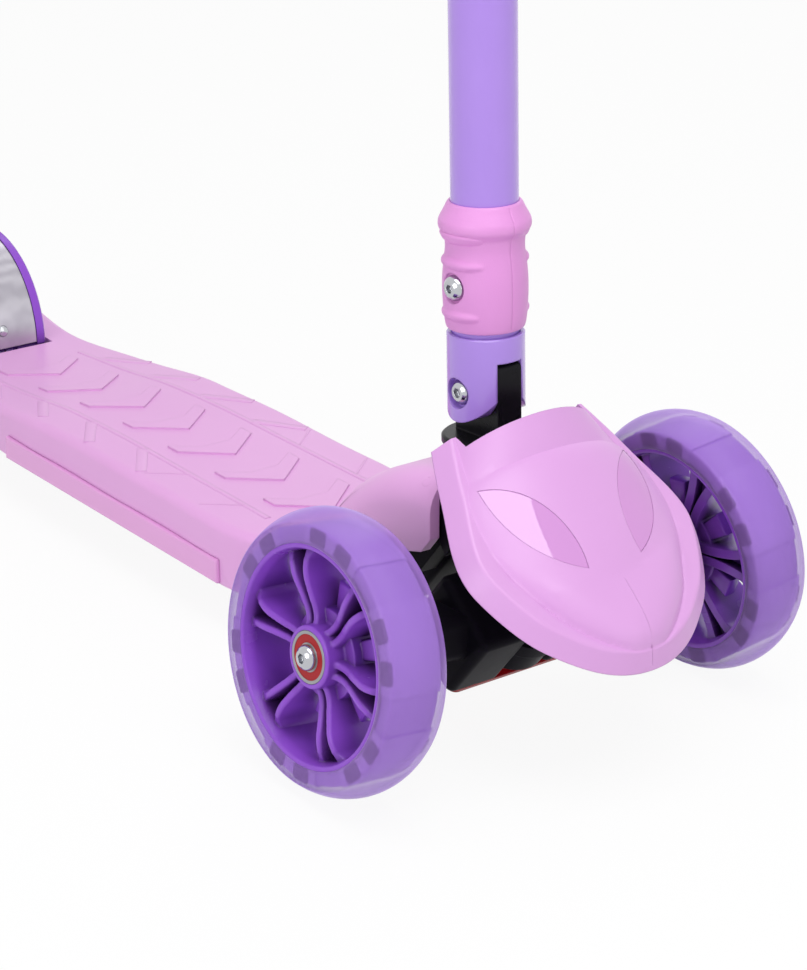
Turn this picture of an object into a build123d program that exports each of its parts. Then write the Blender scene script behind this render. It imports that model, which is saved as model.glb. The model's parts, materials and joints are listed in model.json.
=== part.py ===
from build123d import *
import math
import os

os.makedirs("parts", exist_ok=True)

# Overall layout, in mm. X points forward, Y to the rider's left, Z up from the ground.
WHEELBASE = 484.0
TRACK = 200.0
CAMBER = 6.0
STEM_LEAN = 3.73
STEER_TILT = 52.0
STEER_Z = 52.0
FOLD_X = -28.8
FOLD_Z = 145.3
SEAT = 0.02
RUN = 0.05
GAP = 0.3

# Wheels
FRONT_R = 60.0
FRONT_HALF = 14.5
FRONT_CROWN = 23.0
FRONT_SEAT_R = 47.0
FRONT_RIB_R = 53.0
FRONT_RIB_HALF = 4.5
REAR_R = 40.0
REAR_HALF = 17.0
REAR_CROWN = 40.0
REAR_SEAT_R = 29.0
BEARING_R = 11.0
BEARING_BORE = 4.0
BEARING_W = 7.0
HUB_R = 13.2
HUB_HALF = 13.2
SPOKES = 6
RIM_PHASE = 23.0

# Fasteners
BOLT_R = BEARING_BORE - 0.03
HEAD_R = 5.5
HEAD_H = 3.6
NUT_R = 6.4
NUT_H = 5.0

# Footboard
DECK_HALF = 54.0
DECK_TAIL_HALF = 46.0
DECK_TOP = 52.6
DECK_BOTTOM = 21.0
DECK_SKIN = 4.5
DECK_ROUND = 5.0
TREAD_PITCH = 40.0
TREAD_COUNT = 7
TREAD_RISE = 0.9
TRIM_FRONT = -150.0
TRIM_LENGTH = 188.0
TRIM_Z = 22.5
TRIM_H = 12.0
TRIM_T = 3.0
TRIM_PROUD = 1.5
SLOT_HALF = 28.5
TAIL_ROUND = 14.0
RIB_START = 132.0
RIB_PITCH = 44.0
RIB_BAYS = 6
RIB_T = 3.0

# Stem, sleeve and handlebar, measured along the stem from the fold bolt
STEM_R = 14.3
STEM_WALL = 1.75
STEM_TOP = 330.0
FORK_R = 16.6
FORK_TOP = 24.6
FORK_ROOF = 14.0
FORK_DROP = 12.4
TONGUE_HALF = 6.3
FLANGE_R = 19.3
SPIGOT_R = 17.0
FOOT_SEAT = -32.5
FOOT_LOW = -68.0
SLEEVE_Z0 = 25.6
SLEEVE_Z1 = 80.6
SLEEVE_BOLT_Z = 45.8
SLEEVE_TRAVEL = 12.0
CLAMP_H = 34.0
CLAMP_R = 19.5
BAR_Z = 548.0
BAR_R = 11.0
BAR_HALF = 132.0
GRIP_R = 15.5
GRIP_INNER = 40.0
INNER_TUBE_START = 150.0

# Steering truck, measured along the steering axis from the axle line
TRUCK_R = 20.0
TRUCK_LOW = -17.0
TRUCK_TOP = 16.0
HEAD_LOW = 18.0
HEAD_TOP = 56.0
HEAD_OUT_R = 24.0
KING_R = 6.0
BUSH_R = 9.0
COVER_T = 2.6
BLOCK_FRONT = 18.0
BLOCK_BACK = -20.0
BLOCK_LOW = -24.0
BLOCK_IN = 12.0
BLOCK_OUT = 40.0
BOSS_R = 20.0

# Nose cover, in the frame of the steering axis
NOSE_RIM = 47.5
NOSE_FRONT = 62.1
SKIRT_LOW = 53.5
SKIRT_H = 8.0
SKIRT_DRAFT = 6.5
NOSE_WALL = 3.0
NOSE_CREASE = -36.0
HOOD_REAR = -51.3
HOOD_W = 39.6
HOOD_H = 31.2
NOSE_REAR = -58.0
NOTCH_HALF = 33.3
EYE_DEPTH = 0.9
NOSE_ROWS = [
    (54.5, 14, 3.2), (48, 33, 8.4), (34, 45.5, 17.2), (16, 53.5, 23.0), (-4, 56.5, 25.6), (NOSE_CREASE, 47.4, 25.8)]

# Rear brake, about the rear axle
GUARD_IN = 48.6
GUARD_T = 3.0
GUARD_HALF = 25.5
GUARD_SPAN = 138.0
PLATE_T = 1.2
PLATE_HALF = 20.0
PLATE_END = 110.0
BRAKE_PIN_X = 48.0
BRAKE_PIN_Z = -8.0
BRAKE_PIN_R = 3.0
BARREL_R = 5.5

# Frames that the pieces share
TILT = math.radians(STEER_TILT)
LEAN = math.radians(STEM_LEAN)
CANT = math.radians(CAMBER)
NOSE_REACH = NOSE_FRONT * math.sin(TILT) + SKIRT_LOW * math.cos(TILT)
FRONT_X = (WHEELBASE + REAR_R - NOSE_REACH) / 2
REAR_X = FRONT_X - WHEELBASE
FRONT_Z = (FRONT_R - FRONT_CROWN) * math.cos(CANT) + FRONT_CROWN
REAR_Z = REAR_R
STEER = Plane(
    (FRONT_X, 0, STEER_Z), x_dir=(math.sin(TILT), 0, -math.cos(TILT)), z_dir=(math.cos(TILT), 0, math.sin(TILT)))
STEM = Plane(
    (FRONT_X + FOLD_X, 0, FOLD_Z), x_dir=(math.cos(LEAN), 0, math.sin(LEAN)), z_dir=(-math.sin(LEAN), 0, math.cos(LEAN)))
REAR = Plane((REAR_X, 0, REAR_Z), x_dir=(1, 0, 0), z_dir=(0, -1, 0))


def wheel_plane(side):
    out = (0, side * math.cos(CANT), math.sin(CANT))
    return Plane((FRONT_X, side * TRACK / 2, FRONT_Z), x_dir=(1, 0, 0), z_dir=out)


# General shapes
def lathe(points):
    face = make_face(Polyline(*[(r, 0, z) for r, z in points], close=True))
    return revolve(face, axis=Axis.Z)


def rod(r, z0, z1):
    return Pos(0, 0, (z0 + z1) / 2) * Cylinder(r, z1 - z0)


def tube(r_out, r_in, z0, z1):
    return rod(r_out, z0, z1) - rod(r_in, z0 - 1, z1 + 1)


def cross_rod(r, y0, y1, x=0.0, z=0.0):
    return Pos(x, (y0 + y1) / 2, z) * Rot(90, 0, 0) * Cylinder(r, y1 - y0)


def button_head(r, h, socket):
    dome = lathe([(0, 0), (r, 0), (r, h * 0.3), (r * 0.86, h * 0.7), (r * 0.62, h), (0, h)])
    return dome - Pos(0, 0, h) * extrude(RegularPolygon(socket, 6), h * 0.6, both=True)


def hex_nut(r, h, bore):
    nut = extrude(RegularPolygon(r, 6), h)
    crown = lathe([(0, -1), (r * 0.93, -1), (r, h * 0.15), (r, h * 0.75), (r * 0.88, h), (0, h)])
    return (nut & crown) - rod(bore, -1, h + 1)


def bearing_rings(z0):
    outer = tube(BEARING_R - SEAT, 9.6, z0, z0 + BEARING_W)
    inner = tube(6.1, BEARING_BORE, z0, z0 + BEARING_W)
    return [outer, inner]


def bearing_seals(z0):
    return [tube(9.6, 6.1, z0 + 0.3, z0 + BEARING_W - 0.3)]


made = {}


def keep(name, shape):
    made[name] = shape


# Front wheels
def front_tyre():
    edge_r = FRONT_R - FRONT_CROWN + math.sqrt(FRONT_CROWN ** 2 - FRONT_HALF ** 2)
    low = (FRONT_SEAT_R, 0, -FRONT_HALF + 0.9)
    high = (FRONT_SEAT_R, 0, FRONT_HALF - 0.9)
    wall = FRONT_SEAT_R + 2.5
    lines = [
        Line(low, (wall, 0, -FRONT_HALF)),
        Line((wall, 0, -FRONT_HALF), (edge_r, 0, -FRONT_HALF)),
        ThreePointArc((edge_r, 0, -FRONT_HALF), (FRONT_R, 0, 0), (edge_r, 0, FRONT_HALF)),
        Line((edge_r, 0, FRONT_HALF), (wall, 0, FRONT_HALF)),
        Line((wall, 0, FRONT_HALF), high),
        Line(high, (FRONT_SEAT_R, 0, FRONT_RIB_HALF)),
        Line((FRONT_SEAT_R, 0, FRONT_RIB_HALF), (FRONT_RIB_R, 0, FRONT_RIB_HALF)),
        Line((FRONT_RIB_R, 0, FRONT_RIB_HALF), (FRONT_RIB_R, 0, -FRONT_RIB_HALF)),
        Line((FRONT_RIB_R, 0, -FRONT_RIB_HALF), (FRONT_SEAT_R, 0, -FRONT_RIB_HALF)),
        Line((FRONT_SEAT_R, 0, -FRONT_RIB_HALF), low),
    ]
    ring = revolve(make_face(lines), axis=Axis.Z)
    corners = [e for e in ring.edges().filter_by(GeomType.CIRCLE) if abs(e.radius - edge_r) < 0.01]
    return fillet(corners, 2.4)


def rib_path(offset):
    reach = FRONT_SEAT_R - 3.4
    inner = HUB_R - 1.5
    span = reach - inner
    shape = [(1.9, 0.0), (2.1, 0.22), (2.6, 0.44), (3.4, 0.68), (4.8, 0.87), (7.0, 0.97)]
    pts = [(t, inner + span * k) for t, k in shape]
    moved = []
    for i, (t, r) in enumerate(pts):
        a = pts[max(i - 1, 0)]
        b = pts[min(i + 1, len(pts) - 1)]
        run = math.hypot(b[0] - a[0], b[1] - a[1])
        moved.append((t + offset * (b[1] - a[1]) / run, r - offset * (b[0] - a[0]) / run))
    return moved


def front_rim():
    lip = FRONT_HALF - 0.9
    barrel = lathe([
        (FRONT_SEAT_R - 2.0, lip), (FRONT_SEAT_R, lip), (FRONT_SEAT_R, FRONT_RIB_HALF),
        (FRONT_RIB_R, FRONT_RIB_HALF), (FRONT_RIB_R, -FRONT_RIB_HALF), (FRONT_SEAT_R, -FRONT_RIB_HALF),
        (FRONT_SEAT_R, -lip), (FRONT_SEAT_R - 2.2, -lip), (FRONT_SEAT_R - 3.4, -lip + 4),
        (FRONT_SEAT_R - 3.4, lip - 4)])
    hub = rod(HUB_R, -HUB_HALF, HUB_HALF) + rod(HUB_R + 6.5, -7.0, 4.5)
    right = rib_path(1.3)
    left = rib_path(-1.3)
    rib_face = make_face([
        Spline(*right), Line(right[-1], left[-1]), Spline(*left[::-1]), Line(left[0], right[0])])
    rib = Pos(0, 0, -9.5) * extrude(rib_face, 19.0)
    web_edge = rib_path(0.0)
    flip = [(-t, r) for t, r in web_edge]
    web_face = make_face([
        Spline(*web_edge), Line(web_edge[-1], flip[-1]), Spline(*flip[::-1]), Line(flip[0], web_edge[0])])
    web = Pos(0, 0, -5.0) * extrude(web_face, 2.6)
    pair = rib + mirror(rib, Plane.YZ) + web
    body = barrel.fuse(hub, *[Rot(0, 0, 360 / SPOKES * k) * pair for k in range(SPOKES)])
    window = Box(9.0, 3.6, 4 * FRONT_RIB_HALF)
    light = Box(7.0, 4.6, 4 * FRONT_RIB_HALF)
    middle = (FRONT_SEAT_R + FRONT_RIB_R) / 2
    cuts = [rod(9.2, -20, 20)]
    cuts.append(rod(BEARING_R, HUB_HALF - BEARING_W, 20))
    cuts.append(rod(BEARING_R, -20, -HUB_HALF + BEARING_W))
    for k in range(SPOKES):
        base = 360 / SPOKES * k
        between = base + 180 / SPOKES
        cuts.append(Rot(0, 0, between + 9.5) * Pos(0, middle, 0) * window)
        cuts.append(Rot(0, 0, between - 9.5) * Pos(0, middle, 0) * window)
        cuts.append(Rot(0, 0, base) * Pos(0, middle, 0) * light)
    return body.cut(*cuts)


def front_lights():
    block = Box(7.0 - 2 * SEAT, 4.6 - 2 * SEAT, 2 * FRONT_RIB_HALF)
    middle = (FRONT_SEAT_R + FRONT_RIB_R) / 2
    return [Rot(0, 0, 360 / SPOKES * k) * Pos(0, middle, 0) * block for k in range(SPOKES)]


def axle_bolt():
    shank = rod(BOLT_R, -62.0, HUB_HALF + 0.1)
    return shank + Pos(0, 0, HUB_HALF + 0.1) * button_head(HEAD_R, HEAD_H, 2.3)


def bearing_spacer():
    return tube(7.0, BEARING_BORE, -HUB_HALF + BEARING_W + RUN, HUB_HALF - BEARING_W - RUN)


tyre_shape = front_tyre()
rim_shape = front_rim()
inner_face = -HUB_HALF
for side, word in ((1, "left"), (-1, "right")):
    at = wheel_plane(side)
    keep("front_tyre_" + word, at * tyre_shape)
    turned = at * Rot(0, 0, RIM_PHASE)
    keep("front_rim_" + word, turned * rim_shape)
    keep("front_lights_" + word, Compound(children=[turned * s for s in front_lights()]))
    rings = bearing_rings(HUB_HALF - BEARING_W) + bearing_rings(inner_face)
    keep("front_bearings_" + word, Compound(children=[at * s for s in rings]))
    seals = bearing_seals(HUB_HALF - BEARING_W) + bearing_seals(inner_face)
    keep("front_seals_" + word, Compound(children=[at * s for s in seals]))
    keep("front_axle_bolt_" + word, at * axle_bolt())
    keep("front_spacer_" + word, at * bearing_spacer())


# Truck that leans and steers the front wheels
def truck():
    core = STEER * rod(TRUCK_R, TRUCK_LOW, TRUCK_TOP - 3.0)
    core += STEER * rod(TRUCK_R + 2.0, TRUCK_TOP - 3.0, TRUCK_TOP)
    core += STEER * rod(TRUCK_R + 1.5, -4.0, 4.0)
    for side in (1, -1):
        at = wheel_plane(side)
        root = Pos(0, 0, -TRACK / 2 + 4) * RectangleRounded(27, 23, 5)
        tip = Pos(0, 0, inner_face - 9.0) * RectangleRounded(21, 19, 5)
        arm = loft([root, tip])
        boss = rod(BOSS_R, inner_face - 11.0, inner_face - 2.2)
        boss = chamfer([e for e in boss.edges().filter_by(GeomType.CIRCLE) if abs(e.radius - BOSS_R) < 0.01], 1.5)
        nose = rod(6.0, inner_face - 3.0, inner_face - RUN)
        block = Box(BLOCK_FRONT - BLOCK_BACK, BLOCK_OUT - BLOCK_IN, TRUCK_TOP - BLOCK_LOW)
        block = Pos(0, side * (BLOCK_OUT + BLOCK_IN) / 2, (TRUCK_TOP + BLOCK_LOW) / 2) * fillet(block.edges(), 4.0)
        block = Pos((BLOCK_FRONT + BLOCK_BACK) / 2, 0, 0) * block
        core += at * (arm + boss + nose)
        core += STEER * block
    for side in (1, -1):
        core -= wheel_plane(side) * rod(BEARING_BORE, -62.2, 0)
    core -= STEER * rod(KING_R, -40, 40)
    core -= STEER * rod(NUT_R + 2.2, -40, TRUCK_LOW + 7.0)
    return core


keep("truck", truck())
cover_low = BLOCK_LOW - COVER_T
cover_size = BLOCK_FRONT - BLOCK_BACK - 2.0
plate_low = Pos(0, 0, (cover_low + BLOCK_LOW) / 2) * Box(cover_size, 2 * BLOCK_OUT - 8.0, COVER_T)
plate_low = fillet(plate_low.edges().filter_by(Axis.Z), 5.0)
saddle = Pos(0, 0, (BLOCK_LOW + TRUCK_LOW) / 2) * Box(cover_size - 6.0, 2 * BLOCK_IN - 0.8, TRUCK_LOW - BLOCK_LOW)
bottom_cover = Pos((BLOCK_FRONT + BLOCK_BACK) / 2, 0, 0) * (plate_low + saddle)
keep("truck_bottom_cover", STEER * (bottom_cover + rod(NUT_R + 2.1, TRUCK_LOW, TRUCK_LOW + 1.4)))
king = rod(KING_R - SEAT, TRUCK_LOW + 7.0, HEAD_TOP + 12.0)
king += Pos(0, 0, TRUCK_LOW + 2.0) * extrude(RegularPolygon(NUT_R + 2.0, 6), 5.0)
keep("steering_pivot_bolt", STEER * king)
keep("steering_pivot_nut", STEER * (Pos(0, 0, HEAD_TOP + GAP) * (
    hex_nut(NUT_R + 2.6, 7.0, KING_R) + tube(KING_R + 6.0, KING_R, 0, 1.5))))
bush = tube(BUSH_R - SEAT, KING_R + RUN, HEAD_LOW, HEAD_TOP)
bush += tube(TRUCK_R - 1, KING_R + RUN, TRUCK_TOP + RUN, HEAD_LOW)
keep("steering_bush", STEER * bush)


# Steering head, the black casting that joins stem, neck and truck
def steering_head():
    body = rod(HEAD_OUT_R, HEAD_LOW, HEAD_TOP - 4.0)
    body += rod(HEAD_OUT_R - 4.0, HEAD_TOP - 4.0, HEAD_TOP)
    body += rod(HEAD_OUT_R + 2.5, HEAD_LOW, HEAD_LOW + 4.0)
    bridge = Pos(-28, 0, 29.5) * Box(56, 40, 21)
    wings = Pos(-41, 0, 27.0) * Box(30, 72, 16)
    body = STEER * (body + bridge + wings)
    body += STEM * rod(SPIGOT_R + 5.0, FOOT_LOW, FOOT_SEAT)
    body -= STEER * rod(HEAD_OUT_R + 60.0, -60.0, HEAD_LOW)
    body += STEER * (Pos(-40, 0, 5.5) * Box(12, 64, 31))
    return body.cut(
        STEM * rod(SPIGOT_R, FOOT_LOW - 1, 0), STEM * rod(FLANGE_R + GAP, FOOT_SEAT, 40), STEER * rod(BUSH_R, 0, 80))


head_solid = steering_head()
keep("steering_head", head_solid)


# Stem base with the fold tongue
def stem_base():
    r = FORK_ROOF - 1.0
    front = FORK_R - 1.1
    arc = ThreePointArc((0, 0, r), (-r * math.sqrt(0.5), 0, r * math.sqrt(0.5)), (-r, 0, 0))
    lines = [
        Line((-r, 0, -22), (front, 0, -22)), Line((front, 0, -22), (front, 0, r - 3)),
        ThreePointArc((front, 0, r - 3), (front - 0.88, 0, r - 0.88), (front - 3, 0, r)),
        Line((front - 3, 0, r), (0, 0, r)), arc, Line((-r, 0, 0), (-r, 0, -22))]
    tongue = extrude(make_face(lines), TONGUE_HALF, dir=(0, 1, 0), both=True)
    foot = lathe([
        (0, FOOT_LOW), (SPIGOT_R - SEAT, FOOT_LOW), (SPIGOT_R - SEAT, FOOT_SEAT), (FLANGE_R - 1.0, FOOT_SEAT),
        (FLANGE_R - 0.6, -28.0), (SPIGOT_R, -27.4), (SPIGOT_R, -24.6), (FLANGE_R - 0.8, -24.4),
        (FLANGE_R, -23.6), (FLANGE_R, -21.2), (FLANGE_R - 0.9, -20.4), (0, -20.4)])
    return tongue + foot - cross_rod(BEARING_BORE, -20, 20)


keep("stem_base", STEM * stem_base())


# Fold fork at the foot of the stem
def fork():
    centre = FORK_R - FORK_DROP
    body = rod(FORK_R, -FORK_DROP, FORK_TOP)
    keep_zone = cross_rod(FORK_R, -40, 40, 0, centre) + Pos(0, 0, centre + 30) * Box(80, 80, 60)
    body = body & keep_zone
    body -= Pos(0, 0, FORK_ROOF - 40) * Box(80, 2 * (TONGUE_HALF + 0.1), 80)
    body -= rod(STEM_R, FORK_ROOF + 3.0, 60)
    body -= rod(5.0, 0, 60)
    body -= cross_rod(BEARING_BORE, -40, 40)
    body -= cross_rod(HEAD_R + 1.2, -40, -12.4)
    body -= cross_rod(NUT_R + 0.6, 11.4, 40)
    rim = [e for e in body.edges().filter_by(GeomType.CIRCLE) if e.center().Z > FORK_TOP - 0.1]
    return chamfer(rim, 0.5)


keep("fold_fork", STEM * fork())
fold_bolt = cross_rod(BOLT_R, -12.4, 16.0)
fold_bolt += Pos(0, -12.4, 0) * Rot(90, 0, 0) * button_head(HEAD_R, HEAD_H, 2.3)
keep("fold_bolt", STEM * fold_bolt)
keep("fold_nut", STEM * (Pos(0, 11.4, 0) * Rot(-90, 0, 0) * hex_nut(NUT_R, 4.0, BEARING_BORE)))

# Stem tube with the slot that the sleeve bolt rides in
stem_tube = tube(STEM_R - SEAT, STEM_R - STEM_WALL, FORK_ROOF + 3.0, STEM_TOP)
slot_mid = SLEEVE_BOLT_Z + SLEEVE_TRAVEL / 2
ride = extrude(SlotOverall(SLEEVE_TRAVEL + 7.0, 7.0, rotation=90), 30, both=True)
stem_tube -= Pos(0, 0, slot_mid) * Rot(90, 0, 0) * ride
stem_tube -= Pos(-STEM_R, 0, STEM_TOP - 14) * Box(12, 2.4, 40)
keep("stem_tube", STEM * stem_tube)


# Lock sleeve with waisted grip and three finger ridges on each flank
def lock_sleeve():
    h = SLEEVE_Z1 - SLEEVE_Z0
    shape = [(16.4, 0), (17.2, 0.08), (18.0, 0.24), (18.1, 0.38), (17.5, 0.52), (16.7, 0.64), (17.3, 0.73),
             (19.0, 0.80), (19.3, 0.85), (18.4, 0.91), (16.6, 0.965), (15.4, 1.0)]
    outer = [(r, 0, SLEEVE_Z0 + h * k) for r, k in shape]
    bore = STEM_R + RUN
    lines = [
        Spline(*outer), Line(outer[-1], (bore, 0, SLEEVE_Z1)),
        Line((bore, 0, SLEEVE_Z1), (bore, 0, SLEEVE_Z0)), Line((bore, 0, SLEEVE_Z0), outer[0])]
    body = revolve(make_face(lines), axis=Axis.Z)
    cuts = [cross_rod(3.0, -30, 30, 0, SLEEVE_BOLT_Z)]
    for side in (1, -1):
        near = min(side * 30, side * 15.9)
        far = max(side * 30, side * 15.9)
        cuts.append(cross_rod(HEAD_R + 1.1, near, far, 0, SLEEVE_BOLT_Z))
        for k, r in ((0.115, 17.4), (0.49, 17.5), (0.735, 17.5)):
            flank = Pos(0, side * 20.0, 0) * Box(24.0, 20.0, 10.0)
            body += Pos(0, 0, SLEEVE_Z0 + h * k) * (Torus(r, 1.4) & flank)
    return body.cut(*cuts)


keep("lock_sleeve", STEM * lock_sleeve())
sleeve_bolt = cross_rod(3.0 - SEAT, -15.9, 15.9, 0, SLEEVE_BOLT_Z)
for side in (1, -1):
    sleeve_bolt += Pos(0, side * 15.9, SLEEVE_BOLT_Z) * Rot(-90 * side, 0, 0) * button_head(HEAD_R, HEAD_H, 2.0)
keep("sleeve_bolt", STEM * sleeve_bolt)
plunger = rod(STEM_R - STEM_WALL - RUN, FORK_ROOF + 9.0, SLEEVE_BOLT_Z + 8.0)
plunger += rod(4.9, FORK_ROOF - 0.6, FORK_ROOF + 9.0)
plunger -= cross_rod(3.0, -30, 30, 0, SLEEVE_BOLT_Z)
keep("lock_plunger", STEM * plunger)


def coil(r, wire, z0, z1, turns):
    tall = z1 - z0 - 2 * wire
    path = Helix(pitch=tall / turns, height=tall, radius=r, center=(0, 0, z0 + wire))
    gap = tall / turns - 2 * wire
    print("least gap between spring turns", round(gap, 2))
    start = Plane(path @ 0, z_dir=path % 0)
    return sweep(start * Circle(wire), path=path)


keep("lock_spring", STEM * coil(8.0, 0.8, SLEEVE_BOLT_Z + 8.0, 100.0, 7))
keep("spring_stop", STEM * tube(STEM_R - STEM_WALL - SEAT, 4.0, 100.0, 106.0))

# Height clamp round the top of the stem tube
clamp_z0 = STEM_TOP + 2.0 - CLAMP_H
lug_x = -(CLAMP_R + 8.0)


def height_clamp():
    body = tube(CLAMP_R, STEM_R, clamp_z0, STEM_TOP)
    body += tube(CLAMP_R, STEM_R - STEM_WALL + 0.35, STEM_TOP, STEM_TOP + 2.0)
    lug = Pos(lug_x / 2 - 6.0, 0, clamp_z0 + CLAMP_H / 2) * Box(-lug_x - 4.0, 17.0, CLAMP_H - 12.0)
    body += lug - rod(CLAMP_R - 2.0, 0, 600)
    body -= Pos(-CLAMP_R - 4, 0, clamp_z0 + CLAMP_H / 2) * Box(28, 2.6, CLAMP_H + 2)
    body -= cross_rod(3.0, -30, 30, lug_x + 4.0, clamp_z0 + CLAMP_H / 2)
    return body


keep("height_clamp", STEM * height_clamp())
clamp_mid = clamp_z0 + CLAMP_H / 2
pin_y = 15.5
clamp_bolt = cross_rod(3.0 - SEAT, -8.6, pin_y, lug_x + 4.0, clamp_mid)
clamp_bolt += Pos(lug_x + 4.0, -8.6, clamp_mid) * Rot(90, 0, 0) * hex_nut(NUT_R - 0.6, NUT_H, 0.5)
clamp_bolt += Pos(lug_x + 4.0, pin_y, clamp_mid) * rod(3.0 - SEAT, -8.0, 8.0)
keep("clamp_bolt", STEM * clamp_bolt)


def clamp_lever():
    cam = rod(6.4, -7.5, 7.5)
    blade = make_face([
        Spline((0, 6.4), (14, 9.8), (28, 11.2), (46, 7.0)), Line((46, 7.0), (45.2, 3.8)),
        Spline((45.2, 3.8), (28, 7.8), (14, 5.8), (0, -2.0)), Line((0, -2.0), (0, 6.4))])
    body = cam + Pos(0, 0, -6.5) * extrude(blade, 13.0)
    return body.cut(rod(3.0 + RUN, -20, 20), Pos(-6.5, 0, 0) * Box(20, 40, 2 * (3.0 + GAP)))


keep("clamp_lever", STEM * (Pos(lug_x + 4.0, pin_y, clamp_mid) * clamp_lever()))

# Telescopic tube, handlebar head, crossbar, grips and plugs
inner_r = STEM_R - STEM_WALL - RUN
keep("inner_tube", STEM * tube(inner_r, inner_r - 1.6, INNER_TUBE_START, BAR_Z - BAR_R - 3.0))


def bar_head():
    body = lathe([
        (0, BAR_Z - 44), (inner_r + 3.2, BAR_Z - 44), (inner_r + 3.8, BAR_Z - 42), (inner_r + 3.4, BAR_Z - 24),
        (inner_r + 4.2, BAR_Z), (0, BAR_Z)])
    body += cross_rod(BAR_R + 4.5, -34, 34, 0, BAR_Z)
    body += cross_rod(BAR_R + 3.2, -GRIP_INNER + 1, GRIP_INNER - 1, 0, BAR_Z)
    body -= cross_rod(BAR_R, -60, 60, 0, BAR_Z)
    return body - rod(inner_r + SEAT, 0, BAR_Z - BAR_R - 3.0)


keep("handlebar_head", STEM * bar_head())
keep("crossbar", STEM * (
    cross_rod(BAR_R - SEAT, -BAR_HALF, BAR_HALF, 0, BAR_Z) - cross_rod(BAR_R - 1.8, -200, 200, 0, BAR_Z)))


def grip():
    length = BAR_HALF - GRIP_INNER
    pts = [(BAR_R, GRIP_INNER), (GRIP_R + 3.5, GRIP_INNER)]
    pts += [(GRIP_R + 3.5, GRIP_INNER + 3.0), (GRIP_R - 0.6, GRIP_INNER + 4.6)]
    count = 9
    pitch = (length - 14.0) / count
    for k in range(count):
        z = GRIP_INNER + 6.0 + pitch * k
        pts += [(GRIP_R - 0.7, z), (GRIP_R + 0.3, z + pitch * 0.28)]
        pts += [(GRIP_R + 0.3, z + pitch * 0.62), (GRIP_R - 0.7, z + pitch * 0.9)]
    pts += [(GRIP_R - 0.3, BAR_HALF - 5.0), (GRIP_R + 1.2, BAR_HALF - 3.5)]
    pts += [(GRIP_R + 1.2, BAR_HALF - 1.0), (GRIP_R - 0.2, BAR_HALF), (BAR_R, BAR_HALF)]
    return lathe(pts)


grip_shape = grip()
plug_shape = lathe([
    (0, BAR_HALF - 9), (BAR_R - 1.9, BAR_HALF - 9), (BAR_R - 1.82, BAR_HALF), (GRIP_R - 1.5, BAR_HALF),
    (GRIP_R - 1.5, BAR_HALF + 1.4), (GRIP_R - 4.5, BAR_HALF + 3.2), (0, BAR_HALF + 3.6)])
for side, word in ((1, "left"), (-1, "right")):
    turn = Pos(0, 0, BAR_Z) * Rot(-90 * side, 0, 0)
    keep("grip_" + word, STEM * (turn * grip_shape))
    keep("grip_plug_" + word, STEM * (turn * plug_shape))


# Nose cover, a dome of half ellipses on a shield shaped skirt
def half_ellipse(x, w, h):
    plane = Plane((x, 0, NOSE_RIM), x_dir=(0, 1, 0), z_dir=(1, 0, 0))
    arc = plane * EllipticalCenterArc((0, 0), w, h, start_angle=0, arc_size=180)
    low = NOSE_RIM - 6.0
    base = Polyline((x, -w, NOSE_RIM), (x, -w, low), (x, w, low), (x, w, NOSE_RIM))
    return make_face([arc] + list(base.edges()))


def nose_form(inset):
    rows = []
    for i, (x, w, h) in enumerate(NOSE_ROWS):
        reach = x - inset if i == 0 else x
        rows.append(half_ellipse(reach, w - inset, max(h - inset, 0.5)))
    dome = loft(rows)
    brow = half_ellipse(HOOD_REAR, HOOD_W - inset, HOOD_H - inset)
    horn = half_ellipse(NOSE_REAR - inset, HOOD_W + 0.6 - inset, HOOD_H - 5.6 - inset)
    hood = loft([rows[-1], brow], ruled=True)
    tail = loft([brow, horn], ruled=True)
    return dome.fuse(hood, tail)


def skirt_outline(inset):
    half = [
        (NOSE_FRONT, 0), (46, 38), (37.5, 46.5), (26.7, 53.4), (15.7, 58.4), (5, 61.4), (-6, 60.8), (-27.4, 53.6),
        (NOSE_REAR, 42)]
    moved = [(NOSE_FRONT - inset, 0)]
    for before, here, after in zip(half, half[1:], half[2:]):
        run = (after[0] - before[0], after[1] - before[1])
        size = math.hypot(*run)
        moved.append((here[0] - inset * run[1] / size, here[1] + inset * run[0] / size))
    moved.append((NOSE_REAR, half[-1][1] - inset))
    left = Spline(*moved, tangents=[(0, 1), (-1, -0.42)])
    right = mirror(left, Plane.XZ)
    end = moved[-1]
    return make_face([left, right, Line(end, (end[0], -end[1]))])


def skirt_form(inset, top):
    low_face = Pos(0, 0, SKIRT_LOW) * skirt_outline(inset)
    high_face = Pos(0, 0, top) * skirt_outline(inset + SKIRT_DRAFT * (top - SKIRT_LOW) / SKIRT_H)
    return loft([low_face, high_face], ruled=True)


def eye_shape(side, shrink):
    a = (-30.8 + 1.6 * shrink, side * (39.8 - shrink))
    b = (17.6 - 1.6 * shrink, side * (14.1 + shrink))
    top = (-10.9 + shrink * 0.4, side * (18.6 + shrink))
    low = (-2.4 - shrink * 0.4, side * (35.2 - shrink))
    face = make_face([ThreePointArc(a, top, b), ThreePointArc(b, low, a)])
    return Pos(0, 0, NOSE_RIM + 2) * extrude(face, 40)


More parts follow.
